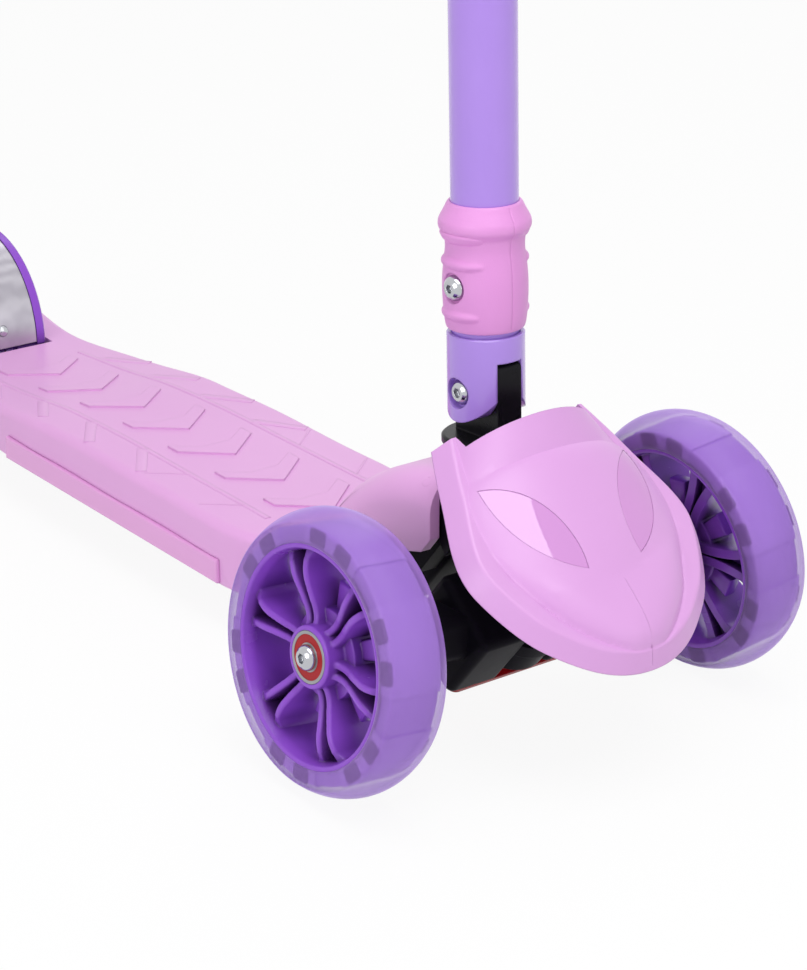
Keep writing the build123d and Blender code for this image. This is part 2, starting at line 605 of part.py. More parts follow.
skirt_top = SKIRT_LOW + SKIRT_H
skirt = skirt_form(0, skirt_top)
rim = [e for e in skirt.edges() if abs(e.center().Z - skirt_top) < 0.01]
rim = [e for e in rim if e.geom_type != GeomType.LINE]
skirt = fillet(rim, 2.2)
inside = nose_form(NOSE_WALL)
cover = skirt + nose_form(0)
cover = cover.cut(
    inside, Pos(0, 0, SKIRT_LOW - 20) * Box(300, 300, 40),
    Pos(HOOD_REAR - 20, 0, NOSE_RIM + 8) * Box(40, 2 * NOTCH_HALF, 80))
eye_bed = nose_form(EYE_DEPTH)
eye_top = nose_form(0.15)
cover = cover.cut(*[eye_shape(s, 0).cut(eye_bed) for s in (1, -1)])
posts = [Pos(0, s * (HEAD_OUT_R - 7.0), 0) * rod(3.0, HEAD_TOP, NOSE_RIM + 22.0) for s in (1, -1)]
cover = cover.fuse(*posts)
for side, word in ((1, "left"), (-1, "right")):
    keep("nose_inset_" + word, STEER * (eye_shape(side, 0.12) & eye_top).cut(eye_bed))
keep("nose_cover", STEER * cover)


# Footboard with neck
def deck_rows():
    f = FRONT_X
    w = DECK_HALF
    t = DECK_TAIL_HALF
    z = DECK_TOP
    b = DECK_BOTTOM
    return [
        (f - 100, w - 20, z, b), (f - 112, w - 12, z, b), (f - 128, w - 4, z, b), (f - 148, w, z, b),
        (f - 180, w, z, b), (f - 220, w, z, b), (f - 262, w, z, b), (f - 300, w, z - 1.2, b),
        (f - 338, w - 0.6, z - 4.4, b), (f - 376, w - 3.4, z - 8.0, b), (f - 412, t + 1.4, z - 10.6, b),
        (f - 440, t, z - 10.8, b + 1.2), (f - 464, t, z - 7.6, b + 2.6), (REAR_X, t, z - 4.6, b + 4.0),
        (REAR_X - 30, t, z - 3.4, b + 5.0)]


def row_at(x):
    rows = deck_rows()
    for a, b in zip(rows, rows[1:]):
        if b[0] <= x <= a[0]:
            k = (x - a[0]) / (b[0] - a[0])
            return (a[1] + (b[1] - a[1]) * k, a[2] + (b[2] - a[2]) * k)
    return (rows[-1][1], rows[-1][2])


def deck_section(x, w, top, low, r):
    k = r * (1 - math.sqrt(0.5))
    q = 2.0
    lines = [
        Line((x, -w + r, top), (x, w - r, top)),
        ThreePointArc((x, w - r, top), (x, w - k, top - k), (x, w, top - r)),
        Line((x, w, top - r), (x, w - 1.0, low + q)),
        Line((x, w - 1.0, low + q), (x, w - 1.0 - q, low)),
        Line((x, w - 1.0 - q, low), (x, -w + 1.0 + q, low)),
        Line((x, -w + 1.0 + q, low), (x, -w + 1.0, low + q)),
        Line((x, -w + 1.0, low + q), (x, -w, top - r)),
        ThreePointArc((x, -w, top - r), (x, -w + k, top - k), (x, -w + r, top))]
    return make_face(lines)


def deck_form(rise, sink):
    rows = [deck_section(x, w, t + rise, b - sink, DECK_ROUND) for x, w, t, b in deck_rows()]
    return loft(rows)


def neck_side(inset):
    f = FRONT_X
    i = inset
    top = [
        (f - 138, DECK_TOP - i), (f - 116, DECK_TOP + 3.5 - i), (f - 100, 66 - i), (f - 84, 84 - i),
        (f - 66, 99.5 - i), (f - 46, 110 - i), (f - 30, 114.5 - i), (f - 14, 116.5 - i)]
    front = [
        (f - 13, 90), (f - 19, 82.5), (f - 29, 79.5), (f - 40, 74), (f - 62, 58), (f - 84, 36),
        (f - 98, DECK_BOTTOM), (f - 138, DECK_BOTTOM)]
    return top, front


def neck_solid(inset, half):
    top, front = neck_side(inset)
    tops = Spline(*[(x, 0, z) for x, z in top])
    rest = Polyline(*[(x, 0, z) for x, z in [top[-1]] + front + [top[0]]])
    face = make_face([tops] + list(rest.edges()))
    return extrude(face, half, dir=(0, 1, 0), both=True)


def chevron(tip):
    half = [(17.7, 21.5), (26.7, 21.5), (16.4, 8.0)]
    pts = [(tip, 0)] + [(tip - x, y) for x, y in half] + [(tip - x, -y) for x, y in half[::-1]]
    return extrude(make_face(Polyline(*pts, close=True)), 200)


def deck():
    f = FRONT_X
    board = deck_form(0, 0.6)
    neck = neck_solid(0, 41.0)
    crown = [e for e in neck.edges() if e.length > 80 and e.center().Z > 75 and abs(e.center().Y) > 30]
    neck = fillet(crown, 15.0)
    neck -= neck_solid(5.0, 36.0) & (Pos(f - 40, 0, 60) * Box(130, 200, 200))
    layer = deck_form(TREAD_RISE, 0)
    tips = [FRONT_X - 174.0 - TREAD_PITCH * k for k in range(TREAD_COUNT)]
    pads = [layer & chevron(tip) for tip in tips if tip - 45 > REAR_X + 56]
    body = board.fuse(neck, *pads)
    pockets = []
    for k in range(RIB_BAYS):
        x1 = f - RIB_START - RIB_PITCH * k
        x0 = x1 - RIB_PITCH + RIB_T
        top = min(row_at(x0)[1], row_at(x1)[1]) - DECK_SKIN
        wide = min(row_at(x0)[0], row_at(x1)[0]) - DECK_SKIN - 1.0
        for side in (1, -1):
            lanes = ((RIB_T / 2, wide / 2 - RIB_T / 2), (wide / 2 + RIB_T / 2, wide))
            for y0, y1 in lanes:
                cell = Box(x1 - x0, y1 - y0, top - DECK_BOTTOM + 10)
                pockets.append(Pos((x0 + x1) / 2, side * (y0 + y1) / 2, (top + DECK_BOTTOM - 10) / 2) * cell)
    cuts = pockets + [Pos(REAR_X + 55 - 75, 0, 40) * Box(150, 2 * SLOT_HALF, 200)]
    cuts.append(Pos(0, 0, DECK_BOTTOM - 50) * Box(1000, 400, 100))
    seat = DECK_TAIL_HALF - 4.0
    for side in (1, -1):
        y = side * (DECK_HALF + TRIM_PROUD - TRIM_T / 2)
        bed = Box(TRIM_LENGTH, TRIM_T, TRIM_H)
        cuts.append(Pos(f + TRIM_FRONT - TRIM_LENGTH / 2, y, TRIM_Z + TRIM_H / 2) * bed)
        near = min(side * seat, side * 90)
        far = max(side * seat, side * 90)
        cuts.append(cross_rod(NUT_R + 1.2, near, far, REAR_X, REAR_Z))
    tail_end = Pos(REAR_X - 50, 0, REAR_Z) * Box(100, 200, 200)
    cuts.append(tail_end - cross_rod(TAIL_ROUND, -120, 120, REAR_X, REAR_Z - 1.0))
    cuts.append(cross_rod(BEARING_BORE, -80, 80, REAR_X, REAR_Z))
    cuts.append(cross_rod(BRAKE_PIN_R, -38, 38, REAR_X + BRAKE_PIN_X, REAR_Z + BRAKE_PIN_Z))
    cuts.append(STEM * rod(FLANGE_R + GAP, FOOT_SEAT, 20))
    cuts.append(STEM * rod(SPIGOT_R + 5.0, FOOT_LOW, FOOT_SEAT))
    cuts.append(head_solid)
    return body.cut(*cuts)


board = deck()
keep("deck", board)

for side, word in ((1, "left"), (-1, "right")):
    recess_y = side * (DECK_HALF + TRIM_PROUD - TRIM_T / 2)
    trim = Box(TRIM_LENGTH - 0.4, TRIM_T, TRIM_H - 0.4)
    edges = [e for e in trim.edges() if abs(e.center().Y - side * TRIM_T / 2) < 0.01]
    trim = fillet(edges, 1.2)
    middle = Pos(FRONT_X + TRIM_FRONT - TRIM_LENGTH / 2, recess_y, TRIM_Z + TRIM_H / 2)
    keep("side_trim_" + word, middle * trim)


# Rear wheel, built about the wheel's own axis
def rear_tyre():
    edge_r = REAR_R - REAR_CROWN + math.sqrt(REAR_CROWN ** 2 - REAR_HALF ** 2)
    lines = [
        Line((REAR_SEAT_R, 0, -REAR_HALF + 1.5), (REAR_SEAT_R + 3, 0, -REAR_HALF)),
        Line((REAR_SEAT_R + 3, 0, -REAR_HALF), (edge_r, 0, -REAR_HALF)),
        ThreePointArc((edge_r, 0, -REAR_HALF), (REAR_R, 0, 0), (edge_r, 0, REAR_HALF)),
        Line((edge_r, 0, REAR_HALF), (REAR_SEAT_R + 3, 0, REAR_HALF)),
        Line((REAR_SEAT_R + 3, 0, REAR_HALF), (REAR_SEAT_R, 0, REAR_HALF - 1.5)),
        Line((REAR_SEAT_R, 0, REAR_HALF - 1.5), (REAR_SEAT_R, 0, -REAR_HALF + 1.5))]
    ring = revolve(make_face(lines), axis=Axis.Z)
    corners = [e for e in ring.edges().filter_by(GeomType.CIRCLE) if abs(e.radius - edge_r) < 0.01]
    return fillet(corners, 3.0)


def rear_rim():
    half = REAR_HALF - 1.5
    body = tube(REAR_SEAT_R, REAR_SEAT_R - 3.0, -half, half) + rod(HUB_R, -half, half)
    body += tube(REAR_SEAT_R - 1.0, HUB_R - 1.0, -3.0, 3.0)
    spoke = Pos(0, (REAR_SEAT_R + HUB_R) / 2 - 1.0, 0) * Box(3.0, REAR_SEAT_R - HUB_R, 2 * half - 6)
    for k in range(SPOKES):
        body += Rot(0, 0, 360 / SPOKES * k) * spoke
    body -= rod(9.2, -40, 40)
    body -= rod(BEARING_R, half - BEARING_W, 40)
    return body - rod(BEARING_R, -40, -half + BEARING_W)


rear_half = REAR_HALF - 1.5
keep("rear_tyre", REAR * rear_tyre())
keep("rear_rim", REAR * rear_rim())
rings = bearing_rings(rear_half - BEARING_W) + bearing_rings(-rear_half)
keep("rear_bearings", Compound(children=[REAR * s for s in rings]))
seals = bearing_seals(rear_half - BEARING_W) + bearing_seals(-rear_half)
keep("rear_seals", Compound(children=[REAR * s for s in seals]))
arm_face = DECK_TAIL_HALF - 4.0
axle = rod(BOLT_R, -arm_face - NUT_H - 1.0, arm_face)
axle += Pos(0, 0, arm_face) * button_head(HEAD_R, HEAD_H, 2.3)
keep("rear_axle_bolt", REAR * axle)
keep("rear_axle_nut", REAR * (Pos(0, 0, -arm_face) * Rot(180, 0, 0) * hex_nut(NUT_R, NUT_H, BEARING_BORE)))
spacers = [tube(6.0, BEARING_BORE, rear_half + RUN, SLOT_HALF - SEAT)]
spacers += [tube(6.0, BEARING_BORE, -SLOT_HALF + SEAT, -rear_half - RUN)]
spacers += [tube(7.0, BEARING_BORE, -rear_half + BEARING_W + RUN, rear_half - BEARING_W - RUN)]
keep("rear_spacers", Compound(children=[REAR * s for s in spacers]))


# Mudguard brake over the rear wheel
def sweep_round(points, start, span):
    face = make_face(Polyline(*[(r, 0, y) for r, y in points], close=True))
    return Rot(0, 0, start) * revolve(face, axis=Axis.Z, revolution_arc=span)


def mudguard():
    r0 = GUARD_IN
    r1 = GUARD_IN + GUARD_T
    lip = r1 + PLATE_T + 0.5
    w = GUARD_HALF
    p = PLATE_HALF + 0.2
    ring = [
        (r0, -w), (lip - 1, -w), (lip, -w + 1), (lip, -p), (r1, -p), (r1, p), (lip, p), (lip, w - 1),
        (lip - 1, w), (r0, w)]
    body = sweep_round(ring, 1, GUARD_SPAN + 1)
    toe = make_face(Polyline(
        (r0 + 0.2, 5.0), (r1, 5.0), (BRAKE_PIN_X + 4.8, BRAKE_PIN_Z + 2), (BRAKE_PIN_X - 3.4, BRAKE_PIN_Z - 1),
        close=True))
    for z0, z1 in ((8.5, w), (-w, -8.5)):
        knuckle = Pos(0, 0, z0) * extrude(toe, z1 - z0)
        barrel = Pos(BRAKE_PIN_X, BRAKE_PIN_Z, 0) * rod(BARREL_R, z0, z1)
        body += knuckle + barrel
    body -= sweep_round([(r1, -p), (lip + 4, -p), (lip + 4, p), (r1, p)], 1, 20)
    return body - Pos(BRAKE_PIN_X, BRAKE_PIN_Z, 0) * rod(BRAKE_PIN_R + RUN, -60, 60)


guard = mudguard()
plate_ring = [(GUARD_IN + GUARD_T, -PLATE_HALF), (GUARD_IN + GUARD_T + PLATE_T, -PLATE_HALF),
              (GUARD_IN + GUARD_T + PLATE_T, PLATE_HALF), (GUARD_IN + GUARD_T, PLATE_HALF)]
plate = sweep_round(plate_ring, 2.5, PLATE_END - 2.5)
rivets = []
grip_length = GUARD_T + PLATE_T - 0.6
rivet = lathe([
    (0, 0), (1.6, 0), (1.6, grip_length), (3.2, grip_length), (2.4, grip_length + 1.2), (0, grip_length + 1.6)])
for angle, y in ((13.0, 0), (PLATE_END - 8.0, -11.5), (PLATE_END - 8.0, 11.5)):
    rivets.append(Rot(0, 0, angle) * Pos(GUARD_IN + 0.6, 0, y) * Rot(0, 90, 0) * rivet)
for piece in rivets:
    guard -= piece
    plate -= piece
keep("mudguard", REAR * guard)
keep("brake_plate", REAR * plate)
keep("brake_rivets", Compound(children=[REAR * s for s in rivets]))
keep("brake_pin", REAR * (Pos(BRAKE_PIN_X, BRAKE_PIN_Z, 0) * rod(BRAKE_PIN_R - SEAT, -37, 37)))


def brake_coil():
    r = BRAKE_PIN_R + 1.5
    wire = 0.6
    pitch = 2.0
    turns = 5.5
    path = Helix(pitch=pitch, height=pitch * turns, radius=r, center=(0, 0, -pitch * turns / 2))
    print("least gap between brake spring turns", round(pitch - 2 * wire, 2))
    a = path @ 0
    b = path @ 1
    da = path % 0
    db = path % 1
    up = Line(a - da * 13.0, a)
    out = Line(b, b + db * 6.0)
    whole = Wire([up, path, out])
    start = Plane(whole @ 0, z_dir=whole % 0)
    return sweep(start * Circle(wire), path=whole)


keep("brake_spring", REAR * (Pos(BRAKE_PIN_X, BRAKE_PIN_Z, 0) * Rot(0, 0, 180) * brake_coil()))

for name, shape in made.items():
    export_step(shape, "parts/" + name + ".step")
print("nodes", len(made))
print("front axle", round(FRONT_X, 3), round(FRONT_Z, 3), "rear axle", round(REAR_X, 3), round(REAR_Z, 3))
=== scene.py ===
import json
import math
import bmesh
import bpy
from mathutils import Matrix, Vector

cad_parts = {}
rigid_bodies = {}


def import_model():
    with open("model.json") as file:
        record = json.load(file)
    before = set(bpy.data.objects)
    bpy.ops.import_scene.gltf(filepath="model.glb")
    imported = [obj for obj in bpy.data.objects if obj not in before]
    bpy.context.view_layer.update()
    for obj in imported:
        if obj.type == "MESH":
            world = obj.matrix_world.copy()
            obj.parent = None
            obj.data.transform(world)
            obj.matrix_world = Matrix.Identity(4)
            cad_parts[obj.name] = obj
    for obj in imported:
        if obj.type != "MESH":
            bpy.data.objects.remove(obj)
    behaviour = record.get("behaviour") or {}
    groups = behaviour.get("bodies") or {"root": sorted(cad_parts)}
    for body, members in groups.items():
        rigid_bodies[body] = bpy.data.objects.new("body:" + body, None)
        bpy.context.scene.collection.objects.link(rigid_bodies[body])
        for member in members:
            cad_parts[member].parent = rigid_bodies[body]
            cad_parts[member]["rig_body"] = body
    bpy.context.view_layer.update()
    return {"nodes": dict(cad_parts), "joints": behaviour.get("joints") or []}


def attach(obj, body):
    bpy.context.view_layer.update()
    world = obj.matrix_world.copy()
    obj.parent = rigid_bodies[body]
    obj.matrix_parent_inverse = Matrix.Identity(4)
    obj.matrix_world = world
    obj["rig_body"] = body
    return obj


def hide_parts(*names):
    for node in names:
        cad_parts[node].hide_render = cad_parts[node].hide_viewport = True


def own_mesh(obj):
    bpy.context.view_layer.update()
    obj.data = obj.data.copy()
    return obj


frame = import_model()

# The studio: a white paper floor under one broad soft box overhead and three weaker ones
# round the scooter. The camera stands at its front right, a little above the nose, and
# looks through a long portrait lens.
scene = bpy.context.scene
scene.view_settings.view_transform = "Standard"
joint = {row["name"]: row for row in frame["joints"]}
near_hub = Vector(joint["front_right_spin"]["pos_m"])
camera_from_hub = Vector((0.8428, -0.6336, 0.5104))
camera_right = (0.6137, 0.7893, 0.0217)
camera_up = (-0.3142, 0.2189, 0.9238)
camera_back = (0.7244, -0.5737, 0.3823)
camera_turn = Matrix((camera_right, camera_up, camera_back)).transposed()
glass = bpy.data.cameras.new("studio_camera")
glass.sensor_width = 36.0
glass.lens = 106.766
camera = bpy.data.objects.new("studio_camera", glass)
camera.matrix_world = Matrix.Translation(near_hub + camera_from_hub) @ camera_turn.to_4x4()
scene.collection.objects.link(camera)
scene.camera = camera


def soft_box(name, place, target, size, watts):
    lamp = bpy.data.lights.new(name, "AREA")
    lamp.shape = "RECTANGLE"
    lamp.size, lamp.size_y = size
    lamp.energy = watts
    holder = bpy.data.objects.new(name, lamp)
    holder.location = place
    holder.rotation_euler = (Vector(target) - Vector(place)).to_track_quat("-Z", "Y").to_euler()
    scene.collection.objects.link(holder)


soft_box("over_box", place=(0.66, -0.14, 1.52), target=(0.66, -0.139, 0.0), size=(1.42, 0.90), watts=15)
soft_box("key_box", place=(0.7, -1.9, 1.0), target=(0.05, 0, 0.1), size=(1.1, 0.9), watts=13)
soft_box("fill_box", place=(2.0, 0.5, 0.7), target=(0.15, 0, 0.12), size=(1.2, 0.9), watts=3)
soft_box("rim_box", place=(-0.9, 1.3, 1.3), target=(0, 0, 0.2), size=(1.0, 1.0), watts=5)


def combined(tree, operation, first, second):
    node = tree.nodes.new("ShaderNodeMath")
    node.operation = operation
    tree.links.new(first, node.inputs[0])
    tree.links.new(second, node.inputs[1])
    return node.outputs[0]


def mixed(tree, share, first, second):
    node = tree.nodes.new("ShaderNodeMixShader")
    tree.links.new(share, node.inputs["Fac"])
    tree.links.new(first, node.inputs[1])
    tree.links.new(second, node.inputs[2])
    return node.outputs[0]


def seen_share(tree):
    rays = tree.nodes.new("ShaderNodeLightPath")
    plain = combined(tree, "MAXIMUM", rays.outputs["Is Camera Ray"], rays.outputs["Is Glossy Ray"])
    return combined(tree, "MAXIMUM", plain, rays.outputs["Is Transmission Ray"])


room = bpy.data.worlds.new("white_room")
room.use_nodes = True
scene.world = room
room_light = room.node_tree.nodes["Background"]
room_light.inputs["Color"].default_value = (1, 1, 1, 1)
room_level = room.node_tree.nodes.new("ShaderNodeMapRange")
room_level.inputs["To Min"].default_value = 0.38
room_level.inputs["To Max"].default_value = 1.0
room.node_tree.links.new(seen_share(room.node_tree), room_level.inputs["Value"])
room.node_tree.links.new(room_level.outputs["Result"], room_light.inputs["Strength"])

paper = bpy.data.materials.new("white_paper")
paper.use_nodes = True
paper_tree = paper.node_tree
paper_skin = paper_tree.nodes["Principled BSDF"]
paper_skin.inputs["Base Color"].default_value = (0.9, 0.9, 0.9, 1)
paper_skin.inputs["Roughness"].default_value = 0.9
paper_skin.inputs["Specular IOR Level"].default_value = 0.1
bright = paper_tree.nodes.new("ShaderNodeEmission")
bright.inputs["Strength"].default_value = 1.0
bright_share = paper_tree.nodes.new("ShaderNodeMath")
bright_share.operation = "MULTIPLY"
bright_share.inputs[1].default_value = 0.92
paper_tree.links.new(seen_share(paper_tree), bright_share.inputs[0])
paper_top = mixed(paper_tree, bright_share.outputs[0], paper_skin.outputs[0], bright.outputs[0])
# From below, the camera looks through the paper.
paper_side = paper_tree.nodes.new("ShaderNodeNewGeometry")
paper_rays = paper_tree.nodes.new("ShaderNodeLightPath")
from_below = combined(
    paper_tree, "MULTIPLY", paper_side.outputs["Backfacing"], paper_rays.outputs["Is Camera Ray"])
clear = paper_tree.nodes.new("ShaderNodeBsdfTransparent")
paper_face = mixed(paper_tree, from_below, paper_top, clear.outputs[0])
paper_tree.links.new(paper_face, paper_tree.nodes["Material Output"].inputs["Surface"])
floor_half, floor_level = 6.0, -0.0003
floor_turns = ((-1, -1), (1, -1), (1, 1), (-1, 1))
floor_corners = [(x * floor_half, y * floor_half, floor_level) for x, y in floor_turns]
sheet = bpy.data.meshes.new("paper_floor")
sheet.from_pydata(floor_corners, [], [(0, 1, 2, 3)])
sheet.materials.append(paper)
floor = bpy.data.objects.new("paper_floor", sheet)
scene.collection.objects.link(floor)


# Footboard: one glass-filled nylon moulding with its neck, satin from a fine spark
# texture in the tool, ribbed underneath, with raised chevrons for grip on top.
def skin_of(material):
    return material.node_tree.nodes["Principled BSDF"].inputs


def graded(name, dark, light, rough, patch=14, wipe=60, grain=1500, depth=0.00004, edge=0.0008,
           specular=0.5):
    made = bpy.data.materials.new(name)
    made.use_nodes = True
    nodes, links = made.node_tree.nodes, made.node_tree.links
    skin = skin_of(made)
    skin["Specular IOR Level"].default_value = specular
    place = nodes.new("ShaderNodeTexCoord")

    def noise(scale, detail):
        field = nodes.new("ShaderNodeTexNoise")
        field.inputs["Scale"].default_value = scale
        field.inputs["Detail"].default_value = detail
        links.new(place.outputs["Object"], field.inputs["Vector"])
        return field.outputs["Fac"]

    tint = nodes.new("ShaderNodeValToRGB")
    tint.color_ramp.elements[0].position = 0.3
    tint.color_ramp.elements[1].position = 0.7
    tint.color_ramp.elements[0].color = (*dark, 1)
    tint.color_ramp.elements[1].color = (*light, 1)
    links.new(noise(patch, 3.0), tint.inputs["Fac"])
    links.new(tint.outputs["Color"], skin["Base Color"])
    spread = nodes.new("ShaderNodeMapRange")
    spread.inputs["To Min"].default_value = rough[0]
    spread.inputs["To Max"].default_value = rough[1]
    links.new(noise(wipe, 4.0), spread.inputs["Value"])
    links.new(spread.outputs["Result"], skin["Roughness"])
    soft = nodes.new("ShaderNodeBevel")
    soft.samples = 4
    soft.inputs["Radius"].default_value = edge
    relief = nodes.new("ShaderNodeBump")
    relief.inputs["Strength"].default_value = 0.6
    relief.inputs["Distance"].default_value = depth
    links.new(noise(grain, 2.0), relief.inputs["Height"])
    links.new(soft.outputs["Normal"], relief.inputs["Normal"])
    links.new(relief.outputs["Normal"], skin["Normal"])
    return made


def shaded(shell, angle):
    for face in shell.faces:
        face.smooth = True
    for edge in shell.edges:
        edge.smooth = edge.calc_face_angle(math.pi) < math.radians(angle)


def skinned(node, finish, angle=34):
    mesh = frame["nodes"][node].data.copy()
    if "custom_normal" in mesh.attributes:
        mesh.attributes.remove(mesh.attributes["custom_normal"])
    shell = bmesh.new()
    shell.from_mesh(mesh)
    bmesh.ops.remove_doubles(shell, verts=shell.verts, dist=2e-6)
    shaded(shell, angle)
    shell.to_mesh(mesh)
    shell.free()
    mesh.materials.clear()
    mesh.materials.append(finish)
    mesh.polygons.foreach_set("material_index", [0] * len(mesh.polygons))
    piece = bpy.data.objects.new(node + "_skin", mesh)
    scene.collection.objects.link(piece)
    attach(piece, frame["nodes"][node]["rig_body"])
    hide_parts(node)
    return piece


pink_nylon = graded("pink_nylon", dark=(0.77, 0.39, 0.745), light=(0.795, 0.41, 0.77), rough=(0.34, 0.42),
                    patch=9, grain=2400, depth=0.00006, edge=0.0009)
footboard = skinned("deck", pink_nylon, 24)


# Border lines: low flat ribs moulded on the footboard's top, a straight one along each
# side of the chevrons and a zigzag from it to the rounded edge.
def fresh_tree(name, **inputs):
    tree = bpy.data.node_groups.new(name, "GeometryNodeTree")
    for label, kind in inputs.items():
        tree.interface.new_socket(label, in_out="INPUT", socket_type="NodeSocket" + kind)
    tree.interface.new_socket("Geometry", in_out="OUTPUT", socket_type="NodeSocketGeometry")
    start = tree.nodes.new("NodeGroupInput")
    return tree, start


def finished_tree(tree, start, made):
    real = tree.nodes.new("GeometryNodeRealizeInstances")
    paint = tree.nodes.new("GeometryNodeSetMaterial")
    end = tree.nodes.new("NodeGroupOutput")
    tree.links.new(made, real.inputs["Geometry"])
    tree.links.new(real.outputs["Geometry"], paint.inputs["Geometry"])
    tree.links.new(start.outputs["Finish"], paint.inputs["Material"])
    tree.links.new(paint.outputs["Geometry"], end.inputs["Geometry"])
    return tree


def line_on_skin():
    tree, start = fresh_tree("line_on_skin", Geometry="Geometry", Width="Float", Rise="Float",
                             Carrier="Object", Way="Vector", Finish="Material")
    path = tree.nodes.new("GeometryNodeMeshToCurve")
    even = tree.nodes.new("GeometryNodeResampleCurve")
    even.mode = "LENGTH"
    even.inputs["Length"].default_value = 0.002
    carrier = tree.nodes.new("GeometryNodeObjectInfo")
    ray = tree.nodes.new("GeometryNodeRaycast")
    ray.inputs["Ray Length"].default_value = 1.0
    lay = tree.nodes.new("GeometryNodeSetPosition")
    level_way = tree.nodes.new("GeometryNodeSetCurveNormal")
    level_way.mode = "Z_UP"
    double = tree.nodes.new("ShaderNodeMath")
    double.operation = "MULTIPLY"
    double.inputs[1].default_value = 2.0
    section = tree.nodes.new("GeometryNodeCurvePrimitiveQuadrilateral")
    corner = tree.nodes.new("GeometryNodeFilletCurve")
    corner.mode = "POLY"
    corner.inputs["Count"].default_value = 2
    strip = tree.nodes.new("GeometryNodeCurveToMesh")
    strip.inputs["Fill Caps"].default_value = True
    join = tree.links.new
    join(start.outputs["Geometry"], path.inputs["Mesh"])
    join(path.outputs["Curve"], even.inputs["Curve"])
    join(start.outputs["Carrier"], carrier.inputs["Object"])
    join(carrier.outputs["Geometry"], ray.inputs["Target Geometry"])
    join(start.outputs["Way"], ray.inputs["Ray Direction"])
    join(even.outputs["Curve"], lay.inputs["Geometry"])
    join(ray.outputs["Hit Position"], lay.inputs["Position"])
    join(ray.outputs["Is Hit"], lay.inputs["Selection"])
    join(lay.outputs["Geometry"], level_way.inputs["Curve"])
    join(start.outputs["Rise"], double.inputs[0])
    join(start.outputs["Width"], section.inputs["Width"])
    join(double.outputs[0], section.inputs["Height"])
    join(section.outputs["Curve"], corner.inputs["Curve"])
    join(start.outputs["Rise"], corner.inputs["Radius"])
    join(level_way.outputs["Curve"], strip.inputs["Curve"])
    join(corner.outputs["Curve"], strip.inputs["Profile Curve"])
    return finished_tree(tree, start, strip.outputs["Mesh"])


def repeated(mesh, tree, **values):
    holder = bpy.data.objects.new("pattern", mesh)
    scene.collection.objects.link(holder)
    pattern = holder.modifiers.new("pattern", "NODES")
    pattern.node_group = tree
    for item in tree.interface.items_tree:
        if item.item_type == "SOCKET" and item.in_out == "INPUT" and item.name in values:
            pattern[item.identifier] = values[item.name]
    made = bpy.data.meshes.new_from_object(holder.evaluated_get(bpy.context.evaluated_depsgraph_get()))
    holder.modifiers.remove(pattern)
    bpy.data.objects.remove(holder)
    return made


def polylines(name, runs):
    mesh = bpy.data.meshes.new(name)
    points, edges = [], []
    for run in runs:
        first = len(points)
        points += [tuple(p) for p in run]
        edges += [(first + k, first + k + 1) for k in range(len(run) - 1)]
    mesh.from_pydata(points, edges, [])
    return mesh


def mesh_from(shell, name):
    mesh = bpy.data.meshes.new(name)
    shell.to_mesh(mesh)
    shell.free()
    return mesh


def merged(name, *meshes):
    whole = bmesh.new()
    for mesh in meshes:
        whole.from_mesh(mesh)
    bmesh.ops.recalc_face_normals(whole, faces=whole.faces)
    return mesh_from(whole, name)


def place_piece(name, mesh, finish, body, slot, *nodes):
    mesh.materials.clear()
    mesh.materials.append(finish)
    piece = bpy.data.objects.new(name, mesh)
    scene.collection.objects.link(piece)
    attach(piece, body)
    if nodes:
        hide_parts(*nodes)
    return piece


skin_line = line_on_skin()
fore = near_hub.x
above = 0.2
down = (0, 0, -1)
line_rise = 0.00018
border_front, border_rear = (fore - 0.142, 0.032), (fore - 0.404, 0.030)
bay, bay_count, first_bay = 0.046, 5, fore - 0.200
inner_y, wide_y, narrow_y = 0.0325, 0.0485, 0.0465
strip_run, return_from, return_to = 0.0235, 0.026, 0.039
borders, zigzag, returns = [], [], []
for side in (1, -1):
    borders.append([(x, side * y, above) for x, y in (border_front, border_rear)])
    for k in range(bay_count):
        x = first_bay - bay * k
        outer_y = wide_y if k < 3 else narrow_y
        if k > 0:
            strip = [(x, inner_y), (x + strip_run, outer_y)]
            zigzag.append([(ahead, side * y, above) for ahead, y in strip])
        if k < 2:
            strip = [(x + return_from, outer_y), (x + return_to, inner_y)]
            returns.append([(ahead, side * y, above) for ahead, y in strip])
lines = []
line_widths = (("border", borders, 0.0032), ("zigzag", zigzag, 0.0056), ("return", returns, 0.0012))
for name, runs, width in line_widths:
    lines.append(repeated(polylines(name + "_path", runs), skin_line, Width=width, Rise=line_rise,
                          Carrier=footboard, Way=down, Finish=pink_nylon))
place_piece("footboard_border", merged("footboard_border", *lines), pink_nylon, "deck", "pink_plastic")

# Foremost chevron: the last raised grip pad of the tread, part of the same moulding, where
# the footboard begins to rise to the neck.
tread_tip = fore - 0.134
pad_proud, pad_sunk = 0.0009, 0.0010
pad_half = [(0.0177, 0.0215), (0.0267, 0.0215), (0.0164, 0.0080)]
pad_line = [(tread_tip, 0)]
pad_line += [(tread_tip - x, y) for x, y in pad_half]
pad_line += [(tread_tip - x, -y) for x, y in pad_half[::-1]]
pad = bmesh.new()
pad.faces.new([pad.verts.new((x, y, 0)) for x, y in pad_line])
pad.normal_update()
bmesh.ops.triangulate(pad, faces=pad.faces)
for reach in (0.016, 0.008, 0.004):
    bmesh.ops.subdivide_edges(pad, edges=[e for e in pad.edges if e.calc_length() > reach], cuts=1)
bmesh.ops.triangulate(pad, faces=pad.faces)
bmesh.ops.recalc_face_normals(pad, faces=pad.faces)
if pad.faces[0].normal.z < 0:
    bmesh.ops.reverse_faces(pad, faces=pad.faces)
skirt = bmesh.ops.extrude_edge_only(pad, edges=[e for e in pad.edges if e.is_boundary])["geom"]
